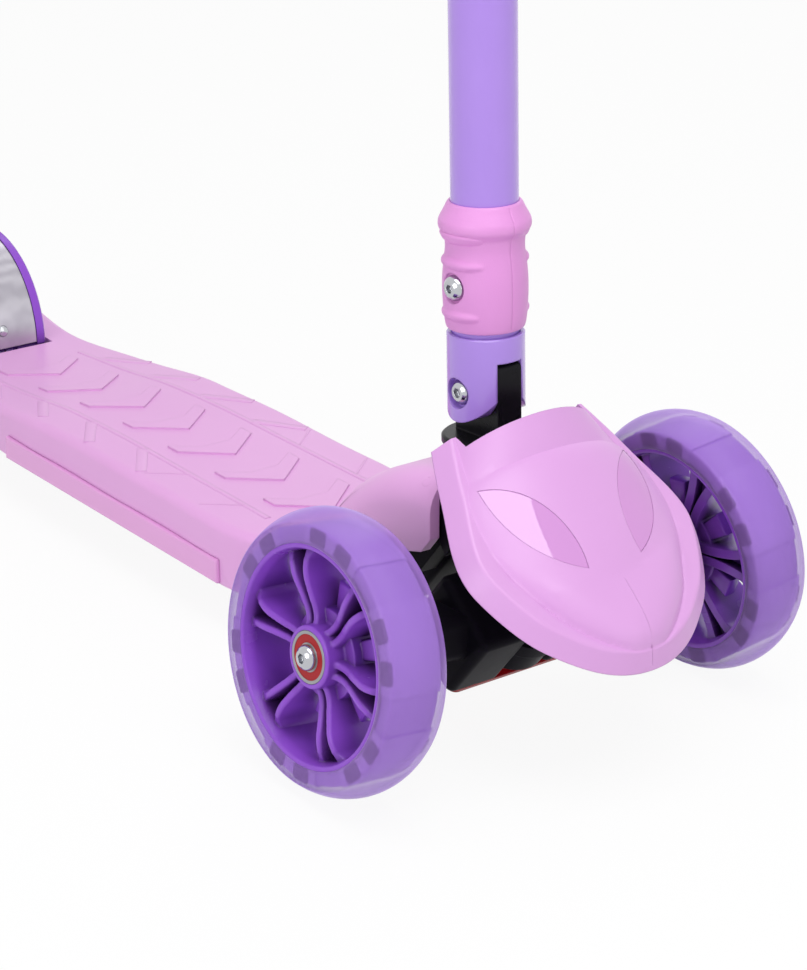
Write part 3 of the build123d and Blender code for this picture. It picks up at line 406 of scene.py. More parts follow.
pad_foot = {v for v in skirt if isinstance(v, bmesh.types.BMVert)}
bpy.context.view_layer.update()
for vertex in pad.verts:
    board = footboard.ray_cast((vertex.co.x, vertex.co.y, above), down)[1].z
    vertex.co.z = board + (-pad_sunk if vertex in pad_foot else pad_proud)
shaded(pad, 40)
place_piece("foremost_chevron", mesh_from(pad, "foremost_chevron"), pink_nylon, "deck", "pink_plastic")

# Side trims: smooth pink nylon strips, polished by their tool and clicked into a bed
# along each flank of the footboard.
pink_gloss = graded("pink_gloss", dark=(0.78, 0.375, 0.72), light=(0.80, 0.39, 0.74), rough=(0.20, 0.27),
                    patch=12, wipe=45, grain=1400, depth=0.00002)
for side in ("left", "right"):
    skinned("side_trim_" + side, pink_gloss)

# Steering head and bush: a black nylon casting inside the neck that carries the stem above
# and the leaning truck below, on a rubber bush. Its wings are narrowed at the rear to stay
# inside the neck. The steering frame has x ahead and z up along the inclined pivot.
black_nylon = graded("black_nylon", dark=(0.008, 0.0072, 0.011), light=(0.0105, 0.0095, 0.0135),
                     rough=(0.30, 0.42), patch=20, wipe=80, grain=1800, depth=0.00006, edge=0.0009,
                     specular=0.02)
tilt = math.radians(52.0)
steer_ahead = Vector((math.sin(tilt), 0, -math.cos(tilt)))
steer_up = Vector((math.cos(tilt), 0, math.sin(tilt)))
steer_foot = Vector(joint["truck_lean"]["pos_m"])
steer_turn = Matrix((steer_ahead, Vector((0, 1, 0)), steer_up)).transposed().to_4x4()
steer_place = Matrix.Translation(Vector((steer_foot.x, 0, steer_foot.z))) @ steer_turn
steer_in_mm = steer_place @ Matrix.Scale(0.001, 4)
wing_rear, wing_half = -0.033, 0.0310
casting = skinned("steering_head", black_nylon)
casting.data.transform(steer_place.inverted())
for vertex in casting.data.vertices:
    if vertex.co.x < wing_rear:
        vertex.co.y = min(wing_half, max(-wing_half, vertex.co.y))
casting.data.transform(steer_place)
skinned("steering_bush", black_nylon)


# Neck plugs: two small caps of the footboard's pink nylon that close its neck where the
# solid steering head's wings come through the crown. Each lies flush, on a bow worked out
# from the crown's height on two circles round it.
def crown_plug(shell, side):
    centre = Vector((fore - 0.0226, side * 0.0353, 0.1127))
    out = Vector((0, side * 0.70, 0.714))
    along = Vector((1, 0, 0))
    across = out.cross(along) * side
    inner, outer, clear_of, spokes = 0.0032, 0.0055, 0.02, 24
    proud, deep = 0.00005, 0.0016
    turns = [2 * math.pi * k / spokes for k in range(spokes)]

    def level(angle, reach):
        return (along * math.cos(angle) + across * math.sin(angle)) * reach

    def crown(angle, reach):
        start = centre + out * clear_of + level(angle, reach)
        spot = footboard.ray_cast(start, -out)[1]
        return clear_of - (spot - start).length

    near = [crown(angle, inner) for angle in turns]
    far = [crown(angle, outer) for angle in turns]
    bend = inner ** 2 / (outer ** 2 - inner ** 2)
    middle = sum(near) / spokes - (sum(far) - sum(near)) / spokes * bend
    rings = []
    for share, lift in ((0.34, proud), (0.67, proud), (1.0, 0.00002), (1.12, -0.0001), (1.12, -0.0012)):
        ring = []
        for k, angle in enumerate(turns):
            opposite = near[k - spokes // 2]
            even = (near[k] + opposite) / 2
            odd = (near[k] - opposite) / 2
            height = middle + (even - middle) * share ** 2 + odd * share + lift
            ring.append(shell.verts.new(centre + out * height + level(angle, inner * share)))
        rings.append(ring)
    top = shell.verts.new(centre + out * (middle + proud))
    foot = shell.verts.new(centre + out * (middle - deep))
    for k in range(spokes):
        after = (k + 1) % spokes
        shell.faces.new((top, rings[0][k], rings[0][after]))
        shell.faces.new((foot, rings[-1][after], rings[-1][k]))
        for low, high in zip(rings[1:], rings):
            shell.faces.new((high[k], low[k], low[after], high[after]))


bpy.context.view_layer.update()
plugs = bmesh.new()
for side in (1, -1):
    crown_plug(plugs, side)
bmesh.ops.recalc_face_normals(plugs, faces=plugs.faces)
for face in plugs.faces:
    face.smooth = True
place_piece("neck_plugs", mesh_from(plugs, "neck_plugs"), pink_nylon, "deck", "pink_plastic")

# Steering heel: a rounded black nylon block under the steering head, moulded with it, that
# fills the gap between the neck and the truck. Sizes are in millimetres.
heel_middle, heel_size, heel_round = (-42.0, 0, -15.0), (19.0, 43.0, 43.0), 3.0
heel = bmesh.new()
heel_box = Matrix.Translation(heel_middle) @ Matrix.Diagonal((*heel_size, 1))
bmesh.ops.create_cube(heel, size=1.0, matrix=heel_box)
bmesh.ops.bevel(heel, geom=list(heel.edges), offset=heel_round, segments=4, profile=0.5, affect="EDGES")
for face in heel.faces:
    face.smooth = True
heel_mesh = mesh_from(heel, "steering_heel")
heel_mesh.transform(steer_in_mm)
place_piece("steering_heel", heel_mesh, black_nylon, "deck", "black_plastic")


# Nose cover: a satin nylon dome on a broader brim that hides the steering head, with a
# groove round the dome, a hooded brow at the stem and a faint parting line at the front.
# Sizes here are in millimetres in the steering frame.
def flowing(points, per=7):
    line = []
    count = len(points)
    for i in range(count - 1):
        p0 = Vector(points[max(i - 1, 0)])
        p1 = Vector(points[i])
        p2 = Vector(points[i + 1])
        p3 = Vector(points[min(i + 2, count - 1)])
        for k in range(per):
            t = k / per
            bend = (2 * p0 - 5 * p1 + 4 * p2 - p3) * t ** 2 + (3 * p1 - p0 - 3 * p2 + p3) * t ** 3
            line.append(0.5 * (2 * p1 + (p2 - p0) * t + bend))
    line.append(Vector(points[-1]))
    return line


def clamped(value):
    return min(1.0, max(0.0, value))


def off_groove(x, y):
    here = Vector((x, abs(y)))
    best = 1e9
    for a, b in zip(groove_half, groove_half[1:]):
        gap = here - a.lerp(b, clamped((here - a).dot(b - a) / (b - a).length_squared))
        if gap.length < abs(best):
            best = gap.length if gap.dot(Vector((b.y - a.y, a.x - b.x))) < 0 else -gap.length
    return best


pink_shell = graded("pink_shell", dark=(0.69, 0.35, 0.715), light=(0.71, 0.37, 0.735), rough=(0.34, 0.42),
                    patch=9, grain=2400, depth=0.00006, edge=0.0005)
groove_half = flowing([(55.2, 0), (54.2, 7.9), (49.8, 15.8), (40.8, 26.2), (30.0, 34.4), (10.3, 43.8),
                       (-6.0, 48.6), (-20, 51)], 6)
groove_deep, groove_wide = 0.55, 1.0
front_level, front_rear, fade = 58.0, -11.0, 18.0
dome_foot, dome_rise, dome_round = 61.0, 4.5, 5.5
nose_rise, nose_run = 3.2, 22.0
merge_width = 0.5
nose_skin = skinned("nose_cover", pink_shell, 28)
shell = bmesh.new()
shell.from_mesh(nose_skin.data)
bmesh.ops.transform(shell, matrix=Matrix.Scale(1000, 4) @ steer_place.inverted(), verts=shell.verts)
bmesh.ops.triangulate(shell, faces=shell.faces)
for reach in (24, 12, 6, 3, 1.6, 1.1, 1.1, 1.1):
    shell.normal_update()
    front = set()
    for face in shell.faces:
        middle = face.calc_center_median()
        if face.normal.z > 0.15 and middle.z > front_level and middle.x > front_rear - 1:
            front.update(face.edges)
    long = [e for e in shell.edges if e in front and e.calc_length() > reach]
    bmesh.ops.subdivide_edges(shell, edges=long, cuts=1)
    bmesh.ops.triangulate(shell, faces=shell.faces)
shell.normal_update()
for vertex in shell.verts:
    x, y, z = vertex.co
    if vertex.normal.z > 0.1 and z > front_level and x > front_rear:
        inside = off_groove(x, y)
        near = clamped((x - front_rear) / fade) ** 2
        if inside > 0:
            rise = dome_rise + nose_rise * clamped(x / nose_run)
            target = dome_foot + rise * (1 - math.exp(-inside / dome_round))
            higher = 0.5 * (z + target + ((z - target) ** 2 + merge_width) ** 0.5)
            z += near * (higher - z)
        vertex.co.z = z - groove_deep * math.exp(-(inside / groove_wide) ** 2) * near
bmesh.ops.transform(shell, matrix=steer_in_mm, verts=shell.verts)
shell.normal_update()
shaded(shell, 30)
shell.to_mesh(nose_skin.data)
shell.free()
seam_low, seam_high, seam_above, seam_steps = 0.026, 0.0605, 0.12, 12
seam_run = []
for k in range(seam_steps + 1):
    ahead = seam_low + (seam_high - seam_low) * k / seam_steps
    seam_run.append(steer_foot + steer_ahead * ahead + steer_up * seam_above)
seam = repeated(polylines("nose_seam_path", [seam_run]), skin_line, Width=0.0003, Rise=0.00005,
                Carrier=nose_skin, Way=tuple(-steer_up), Finish=pink_shell)
place_piece("nose_seam", merged("nose_seam", seam), pink_shell, "deck", "pink_plastic")

# Nose insets: two pink almonds moulded in a polished tool and snapped into beds in the
# dome, one on each side.
polished_pink = graded("polished_pink", dark=(0.62, 0.27, 0.65), light=(0.65, 0.29, 0.67),
                       rough=(0.02, 0.04), patch=12, wipe=45, grain=900, depth=0.000003, edge=0.0004,
                       specular=0.8)
for side in ("left", "right"):
    skinned("nose_inset_" + side, polished_pink)

# Stem base: a black-coated forging, turned at the foot and milled to a tongue at the top,
# bolted down through the steering head.
black_coat = graded("black_coat", dark=(0.0045, 0.004, 0.006), light=(0.007, 0.0065, 0.009),
                    rough=(0.24, 0.32), patch=30, wipe=90, grain=1600, edge=0.0012, specular=0.12)
skinned("stem_base", black_coat)

# Truck: a black nylon casting that leans on the pivot bolt and carries both front axles,
# closed from below by a red cover.
skinned("truck", black_nylon, 30)
red_cap = graded("red_cap", dark=(0.36, 0.005, 0.010), light=(0.43, 0.008, 0.014), rough=(0.30, 0.40),
                 patch=20, wipe=80, depth=0.00005, edge=0.0009, specular=0.25)
skinned("truck_bottom_cover", red_cap)


# Front rims: purple glass-filled nylon, each moulded in one shot with a barrel, a stepped
# hub and six pairs of ribs that dip behind the hub and spread into the barrel. Profiles
# are in millimetres: radius, place along the axle and corner radius.
def rounded(points, steps=4):
    line = []
    count = len(points)
    for i, (a, b, r) in enumerate(points):
        here = Vector((a, b))
        if r == 0:
            line.append(here)
            continue
        back = Vector(points[i - 1][:2]) - here
        ahead = Vector(points[(i + 1) % count][:2]) - here
        p = here + back.normalized() * min(r, back.length * 0.49)
        q = here + ahead.normalized() * min(r, ahead.length * 0.49)
        for k in range(steps + 1):
            t = k / steps
            line.append(p * (1 - t) ** 2 + here * 2 * t * (1 - t) + q * t ** 2)
    return line


def bridge(shell, rings):
    for here, ahead in zip(rings, rings[1:]):
        for i in range(len(here)):
            j = (i + 1) % len(here)
            shell.faces.new((here[i], ahead[i], ahead[j], here[j]))


def polar(radius, angle, z):
    return (radius * math.cos(angle), radius * math.sin(angle), z)


def turn(shell, profile, steps=128):
    rings = []
    for k in range(steps):
        angle = 2 * math.pi * k / steps
        rings.append([shell.verts.new(polar(p[0], angle, p[1])) for p in profile])
    bridge(shell, rings + rings[:1])


def prism(shell, outline, z0, z1, round_top=0.0, round_low=0.0):
    low = [shell.verts.new((x, y, z0)) for x, y in outline]
    high = [shell.verts.new((x, y, z1)) for x, y in outline]
    under = shell.faces.new(low[::-1])
    top = shell.faces.new(high)
    count = len(outline)
    for i in range(count):
        j = (i + 1) % count
        shell.faces.new((low[i], low[j], high[j], high[i]))
    for face, width in ((top, round_top), (under, round_low)):
        if width:
            edges = list(face.edges)
            bmesh.ops.bevel(shell, geom=edges, offset=width, segments=3, profile=0.5, affect="EDGES")


def as_mesh(shell, name, angle=35):
    bmesh.ops.remove_doubles(shell, verts=shell.verts, dist=1e-4)
    bmesh.ops.recalc_face_normals(shell, faces=shell.faces)
    shaded(shell, angle)
    mesh = mesh_from(shell, name)
    mesh.transform(Matrix.Scale(0.001, 4))
    return mesh


def round_the_axle():
    tree, start = fresh_tree("round_the_axle", Geometry="Geometry", Count="Int", Finish="Material")
    points = tree.nodes.new("GeometryNodePoints")
    index = tree.nodes.new("GeometryNodeInputIndex")
    step = tree.nodes.new("ShaderNodeMath")
    step.operation = "DIVIDE"
    step.inputs[0].default_value = 2 * math.pi
    angle = tree.nodes.new("ShaderNodeMath")
    angle.operation = "MULTIPLY"
    spin = tree.nodes.new("FunctionNodeAxisAngleToRotation")
    copies = tree.nodes.new("GeometryNodeInstanceOnPoints")
    join = tree.links.new
    join(start.outputs["Count"], points.inputs["Count"])
    join(start.outputs["Count"], step.inputs[1])
    join(step.outputs[0], angle.inputs[0])
    join(index.outputs[0], angle.inputs[1])
    join(angle.outputs[0], spin.inputs["Angle"])
    join(points.outputs[0], copies.inputs["Points"])
    join(start.outputs["Geometry"], copies.inputs["Instance"])
    join(spin.outputs[0], copies.inputs["Rotation"])
    return finished_tree(tree, start, copies.outputs[0])


def wheel_place(side, word, phase):
    cant = math.radians(6.0)
    z_way = Vector((0, side * math.cos(cant), math.sin(cant)))
    x_way = Vector((1, 0, 0))
    turn_to = Matrix((x_way, z_way.cross(x_way), z_way)).transposed()
    spun = Matrix.Rotation(math.radians(phase), 4, "Z")
    return Matrix.Translation(joint["front_" + word + "_spin"]["pos_m"]) @ turn_to.to_4x4() @ spun


axle_ring = round_the_axle()
both_sides = ((1, "left"), (-1, "right"))
spoke_count, spoke_phase = 6, 23.0
purple_nylon = graded("purple_nylon", dark=(0.26, 0.068, 0.585), light=(0.29, 0.083, 0.625),
                      rough=(0.22, 0.30), patch=12, grain=2000, depth=0.00003, specular=0.3)
purple_base = skin_of(purple_nylon)["Base Color"]
# Painted shade: an ambient-occlusion node darkens the purple nylon's colour in crevices and hollows,
# deepest between the rims' ribs.
painted_hollow_shade = purple_nylon.node_tree.nodes.new("ShaderNodeAmbientOcclusion")
painted_hollow_shade.inputs["Distance"].default_value = 0.012
purple_nylon.node_tree.links.new(purple_base.links[0].from_socket, painted_hollow_shade.inputs["Color"])
purple_nylon.node_tree.links.new(painted_hollow_shade.outputs["Color"], purple_base)
barrel_line = [(44.9, 13.7, 0.7), (47.0, 13.7, 0.5), (47.0, -13.7, 0.5), (44.9, -13.7, 0.7),
               (43.4, -9.4, 1.5), (43.4, 9.4, 1.5)]
hub_line = [(11.0, 13.2, 0.4), (13.2, 13.2, 1.1), (13.6, 4.6, 1.2), (19.4, 4.4, 0.8),
            (19.8, -7.0, 0.6), (13.4, -7.4, 1.0), (13.2, -13.2, 0.8), (11.0, -13.2, 0.4)]
barrel = bmesh.new()
turn(barrel, rounded(barrel_line))
turn(barrel, rounded(hub_line))
barrel_mesh = as_mesh(barrel, "front_rim_barrel")
rib_crest = flowing([(11.6, 11.4), (14.4, 9.2), (19.0, 8.8), (26.0, 10.4), (33.0, 11.9), (38.6, 11.6),
                     (43.6, 9.6)], 10)
rib_line = flowing([(2.5, 11.6), (2.6, 18.6), (2.9, 25.6), (3.8, 33.2), (5.1, 39.4), (6.8, 43.6)], 8)
rib_half, rib_draft, rib_foot = 1.65, 0.5, -9.5
barrel_flare, flare_from, flare_run = 1.1, 39.0, 4.6
hub_flare, flare_to, hub_run = 0.5, 14.0, 2.4
spoke = bmesh.new()
for flip in (1, -1):
    sections = []
    for i, p in enumerate(rib_line):
        run = (rib_line[min(i + 1, len(rib_line) - 1)] - rib_line[max(i - 1, 0)]).normalized()
        across = Vector((run.y, -run.x))
        crest = min(rib_crest, key=lambda q: abs(q.x - p.y)).y
        at_barrel = max(0.0, (p.y - flare_from) / flare_run)
        at_hub = max(0.0, (flare_to - p.y) / hub_run)
        wide = rib_half + barrel_flare * at_barrel ** 2 + hub_flare * at_hub ** 2
        flank = [(wide + rib_draft, rib_foot), (wide, crest - 1.2), (wide * 0.78, crest - 0.45),
                 (wide * 0.38, crest - 0.08)]
        ring = []
        for a, z in flank + [(-a, z) for a, z in flank[::-1]]:
            point = p + across * a
            ring.append(spoke.verts.new((flip * point.x, point.y, z)))
        sections.append(ring)
    bridge(spoke, sections)
    spoke.faces.new(sections[0])
    spoke.faces.new(sections[-1][::-1])
web_low, web_high = -5.0, -2.2
web = [(p.x, p.y) for p in rib_line] + [(-p.x, p.y) for p in rib_line[::-1]]
prism(spoke, web, web_low, web_high)
gusset_low, gusset_high = -6.5, 0.4
gusset = [(-3.6, 12.0), (3.6, 12.0), (5.2, 30.5), (-5.2, 30.5)]
between = Matrix.Rotation(math.pi / spoke_count, 2)
gusset = [tuple(between @ Vector(p)) for p in gusset]
prism(spoke, gusset, gusset_low, gusset_high, round_top=1.4, round_low=1.0)
spoke_mesh = as_mesh(spoke, "front_rim_spoke")
for side, word in both_sides:
    spokes = repeated(spoke_mesh, axle_ring, Count=spoke_count, Finish=purple_nylon)
    rim = merged("front_rim", barrel_mesh, spokes)
    rim.transform(wheel_place(side, word, spoke_phase))
    place_piece("front_wheel_rim_" + word, rim, purple_nylon, "front_wheel_" + word, "purple_plastic",
                "front_rim_" + word)


# Tyre keys: a purple nylon band on the outside of each barrel with six raised blocks, which
# key the tyre to the rim. The band is coloured darker than the blocks as painted shade for the
# deeper gaps between them. Each block has a window pocket at both ends, on both faces, drawn
# as a thin near-black pane: painted shade standing for the pocket's shadowed inside.
def arc_block(shell, r0, r1, middle, half_angle, half_width, corner, steps=18):
    section = rounded([(r0, -half_width, 0), (r1, -half_width, corner), (r1, half_width, corner),
                       (r0, half_width, 0)])
    rings = []
    for k in range(steps + 1):
        angle = math.radians(middle - half_angle + 2 * half_angle * k / steps)
        rings.append([shell.verts.new(polar(p.x, angle, p.y)) for p in section])
    bridge(shell, rings)
    shell.faces.new(rings[0])
    shell.faces.new(rings[-1][::-1])


block = bmesh.new()
arc_block(block, 46.0, 54.2, middle=120, half_angle=20.5, half_width=12.6, corner=1.8)
band = bmesh.new()
turn(band, rounded([(46.2, -12.0, 0.5), (53.5, -12.0, 1.6), (53.5, 12.0, 1.6), (46.2, 12.0, 0.5)]), 96)
pane_half, pane_low, pane_high, pane_corner = 4.9, 47.3, 53.9, 1.6
pane = rounded([(-pane_half, pane_low, pane_corner), (pane_half, pane_low, pane_corner),
                (pane_half, pane_high, pane_corner), (-pane_half, pane_high, pane_corner)])
pane_turns, pane_faces = (39.5, 20.5), ((12.2, 12.9), (-12.9, -12.2))
panes = bmesh.new()
for degrees in pane_turns:
    pane_spin = Matrix.Rotation(math.radians(degrees), 2)
    for z0, z1 in pane_faces:
        prism(panes, [tuple(pane_spin @ p) for p in pane], z0, z1)
key_block = graded("key_block", dark=(0.40, 0.205, 0.70), light=(0.43, 0.225, 0.74), rough=(0.30, 0.40),
                   edge=0.0010)
# Painted shade: the band's finish is the blocks' nylon made darker, so the gaps between the blocks read as
# deeper.
shaded_key_band = graded("shaded_key_band", dark=(0.36, 0.175, 0.65), light=(0.39, 0.195, 0.69), rough=(0.30, 0.40),
                   edge=0.0010)
# Painted shade: a near-black finish for the thin panes that stand in for the shadowed window pockets.
window_pocket_shade = graded("window_pocket_shade", dark=(0.035, 0.008, 0.09), light=(0.05, 0.012, 0.11), rough=(0.40, 0.50),
                    edge=0.0010)
keys = (("key_blocks_", as_mesh(block, "tyre_key_block"), spoke_count, key_block),
        ("key_band_", as_mesh(band, "tyre_key_band"), 1, shaded_key_band),
        ("key_windows_", as_mesh(panes, "tyre_window_pocket_shade"), spoke_count, window_pocket_shade))
for side, word in both_sides:
    for label, mesh, count, finish in keys:
        around = repeated(mesh, axle_ring, Count=count, Finish=finish)
        around.transform(wheel_place(side, word, spoke_phase))
        place_piece("front_wheel_" + label + word, around, finish, "front_wheel_" + word, "purple_plastic")

# Lights: pale nylon housings pressed on the barrel between the keys, which show faintly
# through the tyre.
pale_block = graded("pale_block", dark=(0.45, 0.26, 0.72), light=(0.48, 0.29, 0.75), rough=(0.3, 0.4))
for node in ("front_lights_left", "front_lights_right"):
    skinned(node, pale_block)

# Front tyres: clear purple polyurethane cast round the rim, frosted by its tool, so that
# the keyed blocks and their windows show through it.
frosted = graded("frosted_tyre", dark=(0.41, 0.215, 0.71), light=(0.44, 0.24, 0.74), rough=(0.26, 0.36),
                 patch=10, wipe=70, grain=1300, depth=0.00003, edge=0.0006, specular=0.18)
edge_on = frosted.node_tree.nodes.new("ShaderNodeLayerWeight")
edge_on.inputs["Blend"].default_value = 0.5
thickness = frosted.node_tree.nodes.new("ShaderNodeMapRange")
thickness.inputs["From Min"].default_value = 0.45
thickness.inputs["From Max"].default_value = 0.86
thickness.inputs["To Min"].default_value = 0.43
thickness.inputs["To Max"].default_value = 0.97
frosted.node_tree.links.new(edge_on.outputs["Facing"], thickness.inputs["Value"])
frosted.node_tree.links.new(thickness.outputs["Result"], skin_of(frosted)["Alpha"])
tread_centre, tread_round = 37, 23
tread_angles = [math.radians(degrees) for degrees in range(-36, 37, 6)]
tread = [(tread_centre + tread_round * math.cos(a), tread_round * math.sin(a), 0) for a in tread_angles]
tyre_wall = [(54.6, 14.5, 2.6), (49.2, 14.5, 1.6), (47.2, 14.0, 0.5), (46.5, 13.5, 0)]
tyre_line = rounded([(r, -z, corner) for r, z, corner in tyre_wall[::-1]] + tread + tyre_wall)
for side, word in both_sides:
    ring = bmesh.new()
    turn(ring, tyre_line, 160)
    tyre_mesh = as_mesh(ring, "front_tyre_cast", 60)
    tyre_mesh.transform(wheel_place(side, word, 0.0))
    place_piece("front_wheel_tyre_" + word, tyre_mesh, frosted, "front_wheel_" + word, "purple_tyre",
                "front_tyre_" + word)


# Axles: chrome button-head bolts through pairs of steel bearings with red seals, held off
# the truck by steel spacers, and the pivot bolt and nut that the truck leans on.
def plated(name, tone, rough, edge):
    dark = tuple(c * 0.94 for c in tone)
    made = graded(name, dark, tone, rough, patch=60, wipe=220, grain=900, depth=0.00001, edge=edge)
    skin_of(made)["Metallic"].default_value = 1.0
    return made


chrome = plated("bright_chrome", (0.52, 0.53, 0.56), (0.08, 0.16), 0.0005)
steel = plated("plain_steel", (0.52, 0.53, 0.55), (0.24, 0.36), 0.0004)
race_steel = plated("race_steel", (0.36, 0.36, 0.38), (0.24, 0.36), 0.0004)
seal_lip, seal_rim, seal_proud = 0.0065, 0.0098, 0.0001
for side, word in both_sides:
    skinned("front_axle_bolt_" + word, chrome)
    skinned("front_bearings_" + word, race_steel)
    seal = skinned("front_seals_" + word, red_cap)
    place = wheel_place(side, word, 0.0)
    seal.data.transform(place.inverted())
    for vertex in seal.data.vertices:
        reach = math.hypot(vertex.co.x, vertex.co.y)
        if reach > seal_lip:
            vertex.co.x *= seal_rim / reach
            vertex.co.y *= seal_rim / reach
        vertex.co.z += math.copysign(seal_proud, vertex.co.z)
    seal.data.transform(place)
    skinned("front_spacer_" + word, steel)
for node in ("steering_pivot_bolt", "steering_pivot_nut"):
    skinned(node, steel)

# Fold fork and stem: lilac powder-coated aluminium under a clear coat. The fork is milled
# from bar and pinned to the tube, and swings on the fold bolt.
lilac = graded("lilac_coat", dark=(0.41, 0.235, 0.77), light=(0.43, 0.25, 0.79), rough=(0.20, 0.28),
               patch=20, grain=700, depth=0.00002, edge=0.0010)
skin_of(lilac)["Coat Weight"].default_value = 0.6
skin_of(lilac)["Coat Roughness"].default_value = 0.08
for node in ("stem_tube", "fold_fork"):
    skinned(node, lilac)
for node in ("fold_bolt", "fold_nut"):
    skinned(node, chrome)

# Fold lock: a black nylon plunger inside the tube, pushed down by a coil of steel wire
# against a stop ring. The coil's end turns lie flat; it is wound at one length and does not
# shorten as the sleeve lifts.
for node in ("lock_plunger", "spring_stop"):
    skinned(node, black_nylon)


def wire_on_path():
    tree, start = fresh_tree("wire_on_path", Geometry="Geometry", Wire="Float", Finish="Material")
    path = tree.nodes.new("GeometryNodeMeshToCurve")
    section = tree.nodes.new("GeometryNodeCurvePrimitiveCircle")
    section.inputs["Resolution"].default_value = 14
    wire = tree.nodes.new("GeometryNodeCurveToMesh")
    wire.inputs["Fill Caps"].default_value = True
    join = tree.links.new
    join(start.outputs["Geometry"], path.inputs["Mesh"])
    join(start.outputs["Wire"], section.inputs["Radius"])
    join(path.outputs["Curve"], wire.inputs["Curve"])
    join(section.outputs["Curve"], wire.inputs["Profile Curve"])
    return finished_tree(tree, start, wire.outputs["Mesh"])


def helix(radius, z0, z1, turns):
    steps = int(turns * 40)
    points = []
    for k in range(steps + 1):
        share = k / steps
        points.append(Vector(polar(radius, 2 * math.pi * turns * share, z0 + (z1 - z0) * share)))
    return points


wire_tree = wire_on_path()
spring_steel = plated("spring_steel", (0.46, 0.47, 0.49), (0.20, 0.30), 0.0002)


def wound(name, path, wire, place):
    bent = repeated(polylines(name + "_path", [path]), wire_tree, Wire=wire, Finish=spring_steel)
    coil = merged(name, bent)
    coil.transform(place)
    for polygon in coil.polygons:
        polygon.use_smooth = True
    return coil


fold_axis = Vector(joint["stem_fold"]["pos_m"])
stem_up = Vector(joint["sleeve_lift"]["axis"])
stem_ahead = Vector((0, 1, 0)).cross(stem_up)
stem_turn = Matrix((stem_ahead, Vector((0, 1, 0)), stem_up)).transposed()
stem_place = Matrix.Translation(fold_axis) @ stem_turn.to_4x4()
coil_low, coil_high, coil_radius, coil_wire, end_turn = 0.0538, 0.1000, 0.0080, 0.0008, 0.0022
coil = helix(coil_radius, coil_low + coil_wire, coil_low + end_turn, 1.0)
coil += helix(coil_radius, coil_low + end_turn, coil_high - end_turn, 6.0)[1:]
coil += helix(coil_radius, coil_high - end_turn, coil_high - coil_wire, 1.0)[1:]
spring = wound("lock_spring_coil", coil, coil_wire, stem_place)
spring_piece = place_piece("lock_spring_coil", spring, spring_steel, "stem", "steel", "lock_spring")
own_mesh(spring_piece)

# Lock sleeve: soft pink nylon slid over the stem tube, waisted for the hand, with raised
# finger ridges on both flanks and the mould's parting line down its front and back. Two
# wells take the ends of the bolt that ties it to the plunger.
pink_soft = graded("pink_soft", dark=(0.74, 0.30, 0.69), light=(0.77, 0.32, 0.72), rough=(0.42, 0.50),
                   patch=12, wipe=50, grain=1800, depth=0.00008, edge=0.0006)
sleeve_low, sleeve_tall, sleeve_bore, sleeve_steps = 26.8, 53.8, 14.35, 300
sleeve_line = flowing([
    (15.2, 0.0), (16.5, 0.006), (17.2, 0.06), (17.75, 0.16), (18.05, 0.30), (17.9, 0.42), (17.3, 0.54),
    (16.7, 0.63), (16.8, 0.70), (17.2, 0.745), (18.9, 0.785), (19.5, 0.815), (19.3, 0.86), (18.1, 0.905),
    (16.8, 0.95), (15.9, 0.985), (15.2, 1.0)], 9)
ridges = ((0.135, 42.0, 1.5), (0.545, 50.0, 1.7), (0.745, 48.0, 1.9))
ridge_thin, ridge_swell = 0.008, 0.034
seam_deep, seam_half = 0.35, 1.0


def degrees_off(angle, marks):
    return min(abs((math.degrees(angle) - mark + 180) % 360 - 180) for mark in marks)


sleeve = bmesh.new()
sleeve_rings = []
for k in range(sleeve_steps):
    angle = 2 * math.pi * k / sleeve_steps
    off_flank = degrees_off(angle, (90, 270))
    in_seam = degrees_off(angle, (0, 180)) < seam_half
    ring = []
    for r, h in sleeve_line:
        lift = 0.0
        for middle, reach, tall in ridges:
            along = max(0.0, 1 - (off_flank / reach) ** 2)
            across = (h - middle) / (ridge_thin + ridge_swell * along ** 0.5)
            lift += tall * along ** 0.6 * max(0.0, 1 - across ** 2) ** 0.7
        if in_seam and 0.02 < h < 0.98:
            lift -= seam_deep
        ring.append(sleeve.verts.new(polar(r + lift, angle, sleeve_low + sleeve_tall * h)))
    for h in (1.0, 0.0):
        ring.append(sleeve.verts.new(polar(sleeve_bore, angle, sleeve_low + sleeve_tall * h)))
    sleeve_rings.append(ring)
bridge(sleeve, sleeve_rings + sleeve_rings[:1])
sleeve_mesh = as_mesh(sleeve, "sleeve_blank", 50)


def cut(mesh, tool, name):
    stock = bpy.data.objects.new("stock", mesh)
    cutter = bpy.data.objects.new("cutter", tool)
    scene.collection.objects.link(stock)
    scene.collection.objects.link(cutter)
    bite = stock.modifiers.new("bite", "BOOLEAN")
    bite.operation = "DIFFERENCE"
    bite.solver = "EXACT"
    bite.object = cutter
    made = bpy.data.meshes.new_from_object(stock.evaluated_get(bpy.context.evaluated_depsgraph_get()))
    made.name = name
    bpy.data.objects.remove(stock)
    bpy.data.objects.remove(cutter)
    return made


well_middle, well_height = 19.9, 45.8
wells = bmesh.new()
for flank in (1, -1):
    well = bmesh.ops.create_cone(wells, cap_ends=True, segments=48, radius1=6.5, radius2=6.9, depth=8.0)
    aim = Matrix.Rotation(math.radians(-90 * flank), 4, "X")
    aim = Matrix.Translation((0, flank * well_middle, well_height)) @ aim
    bmesh.ops.transform(wells, matrix=aim, verts=well["verts"])
sleeve_mesh = cut(sleeve_mesh, as_mesh(wells, "sleeve_well", 40), "lock_sleeve_skin")
sleeve_mesh.transform(stem_place)
place_piece("lock_sleeve_grip", sleeve_mesh, pink_soft, "sleeve", "pink_plastic", "lock_sleeve")
skinned("sleeve_bolt", chrome)

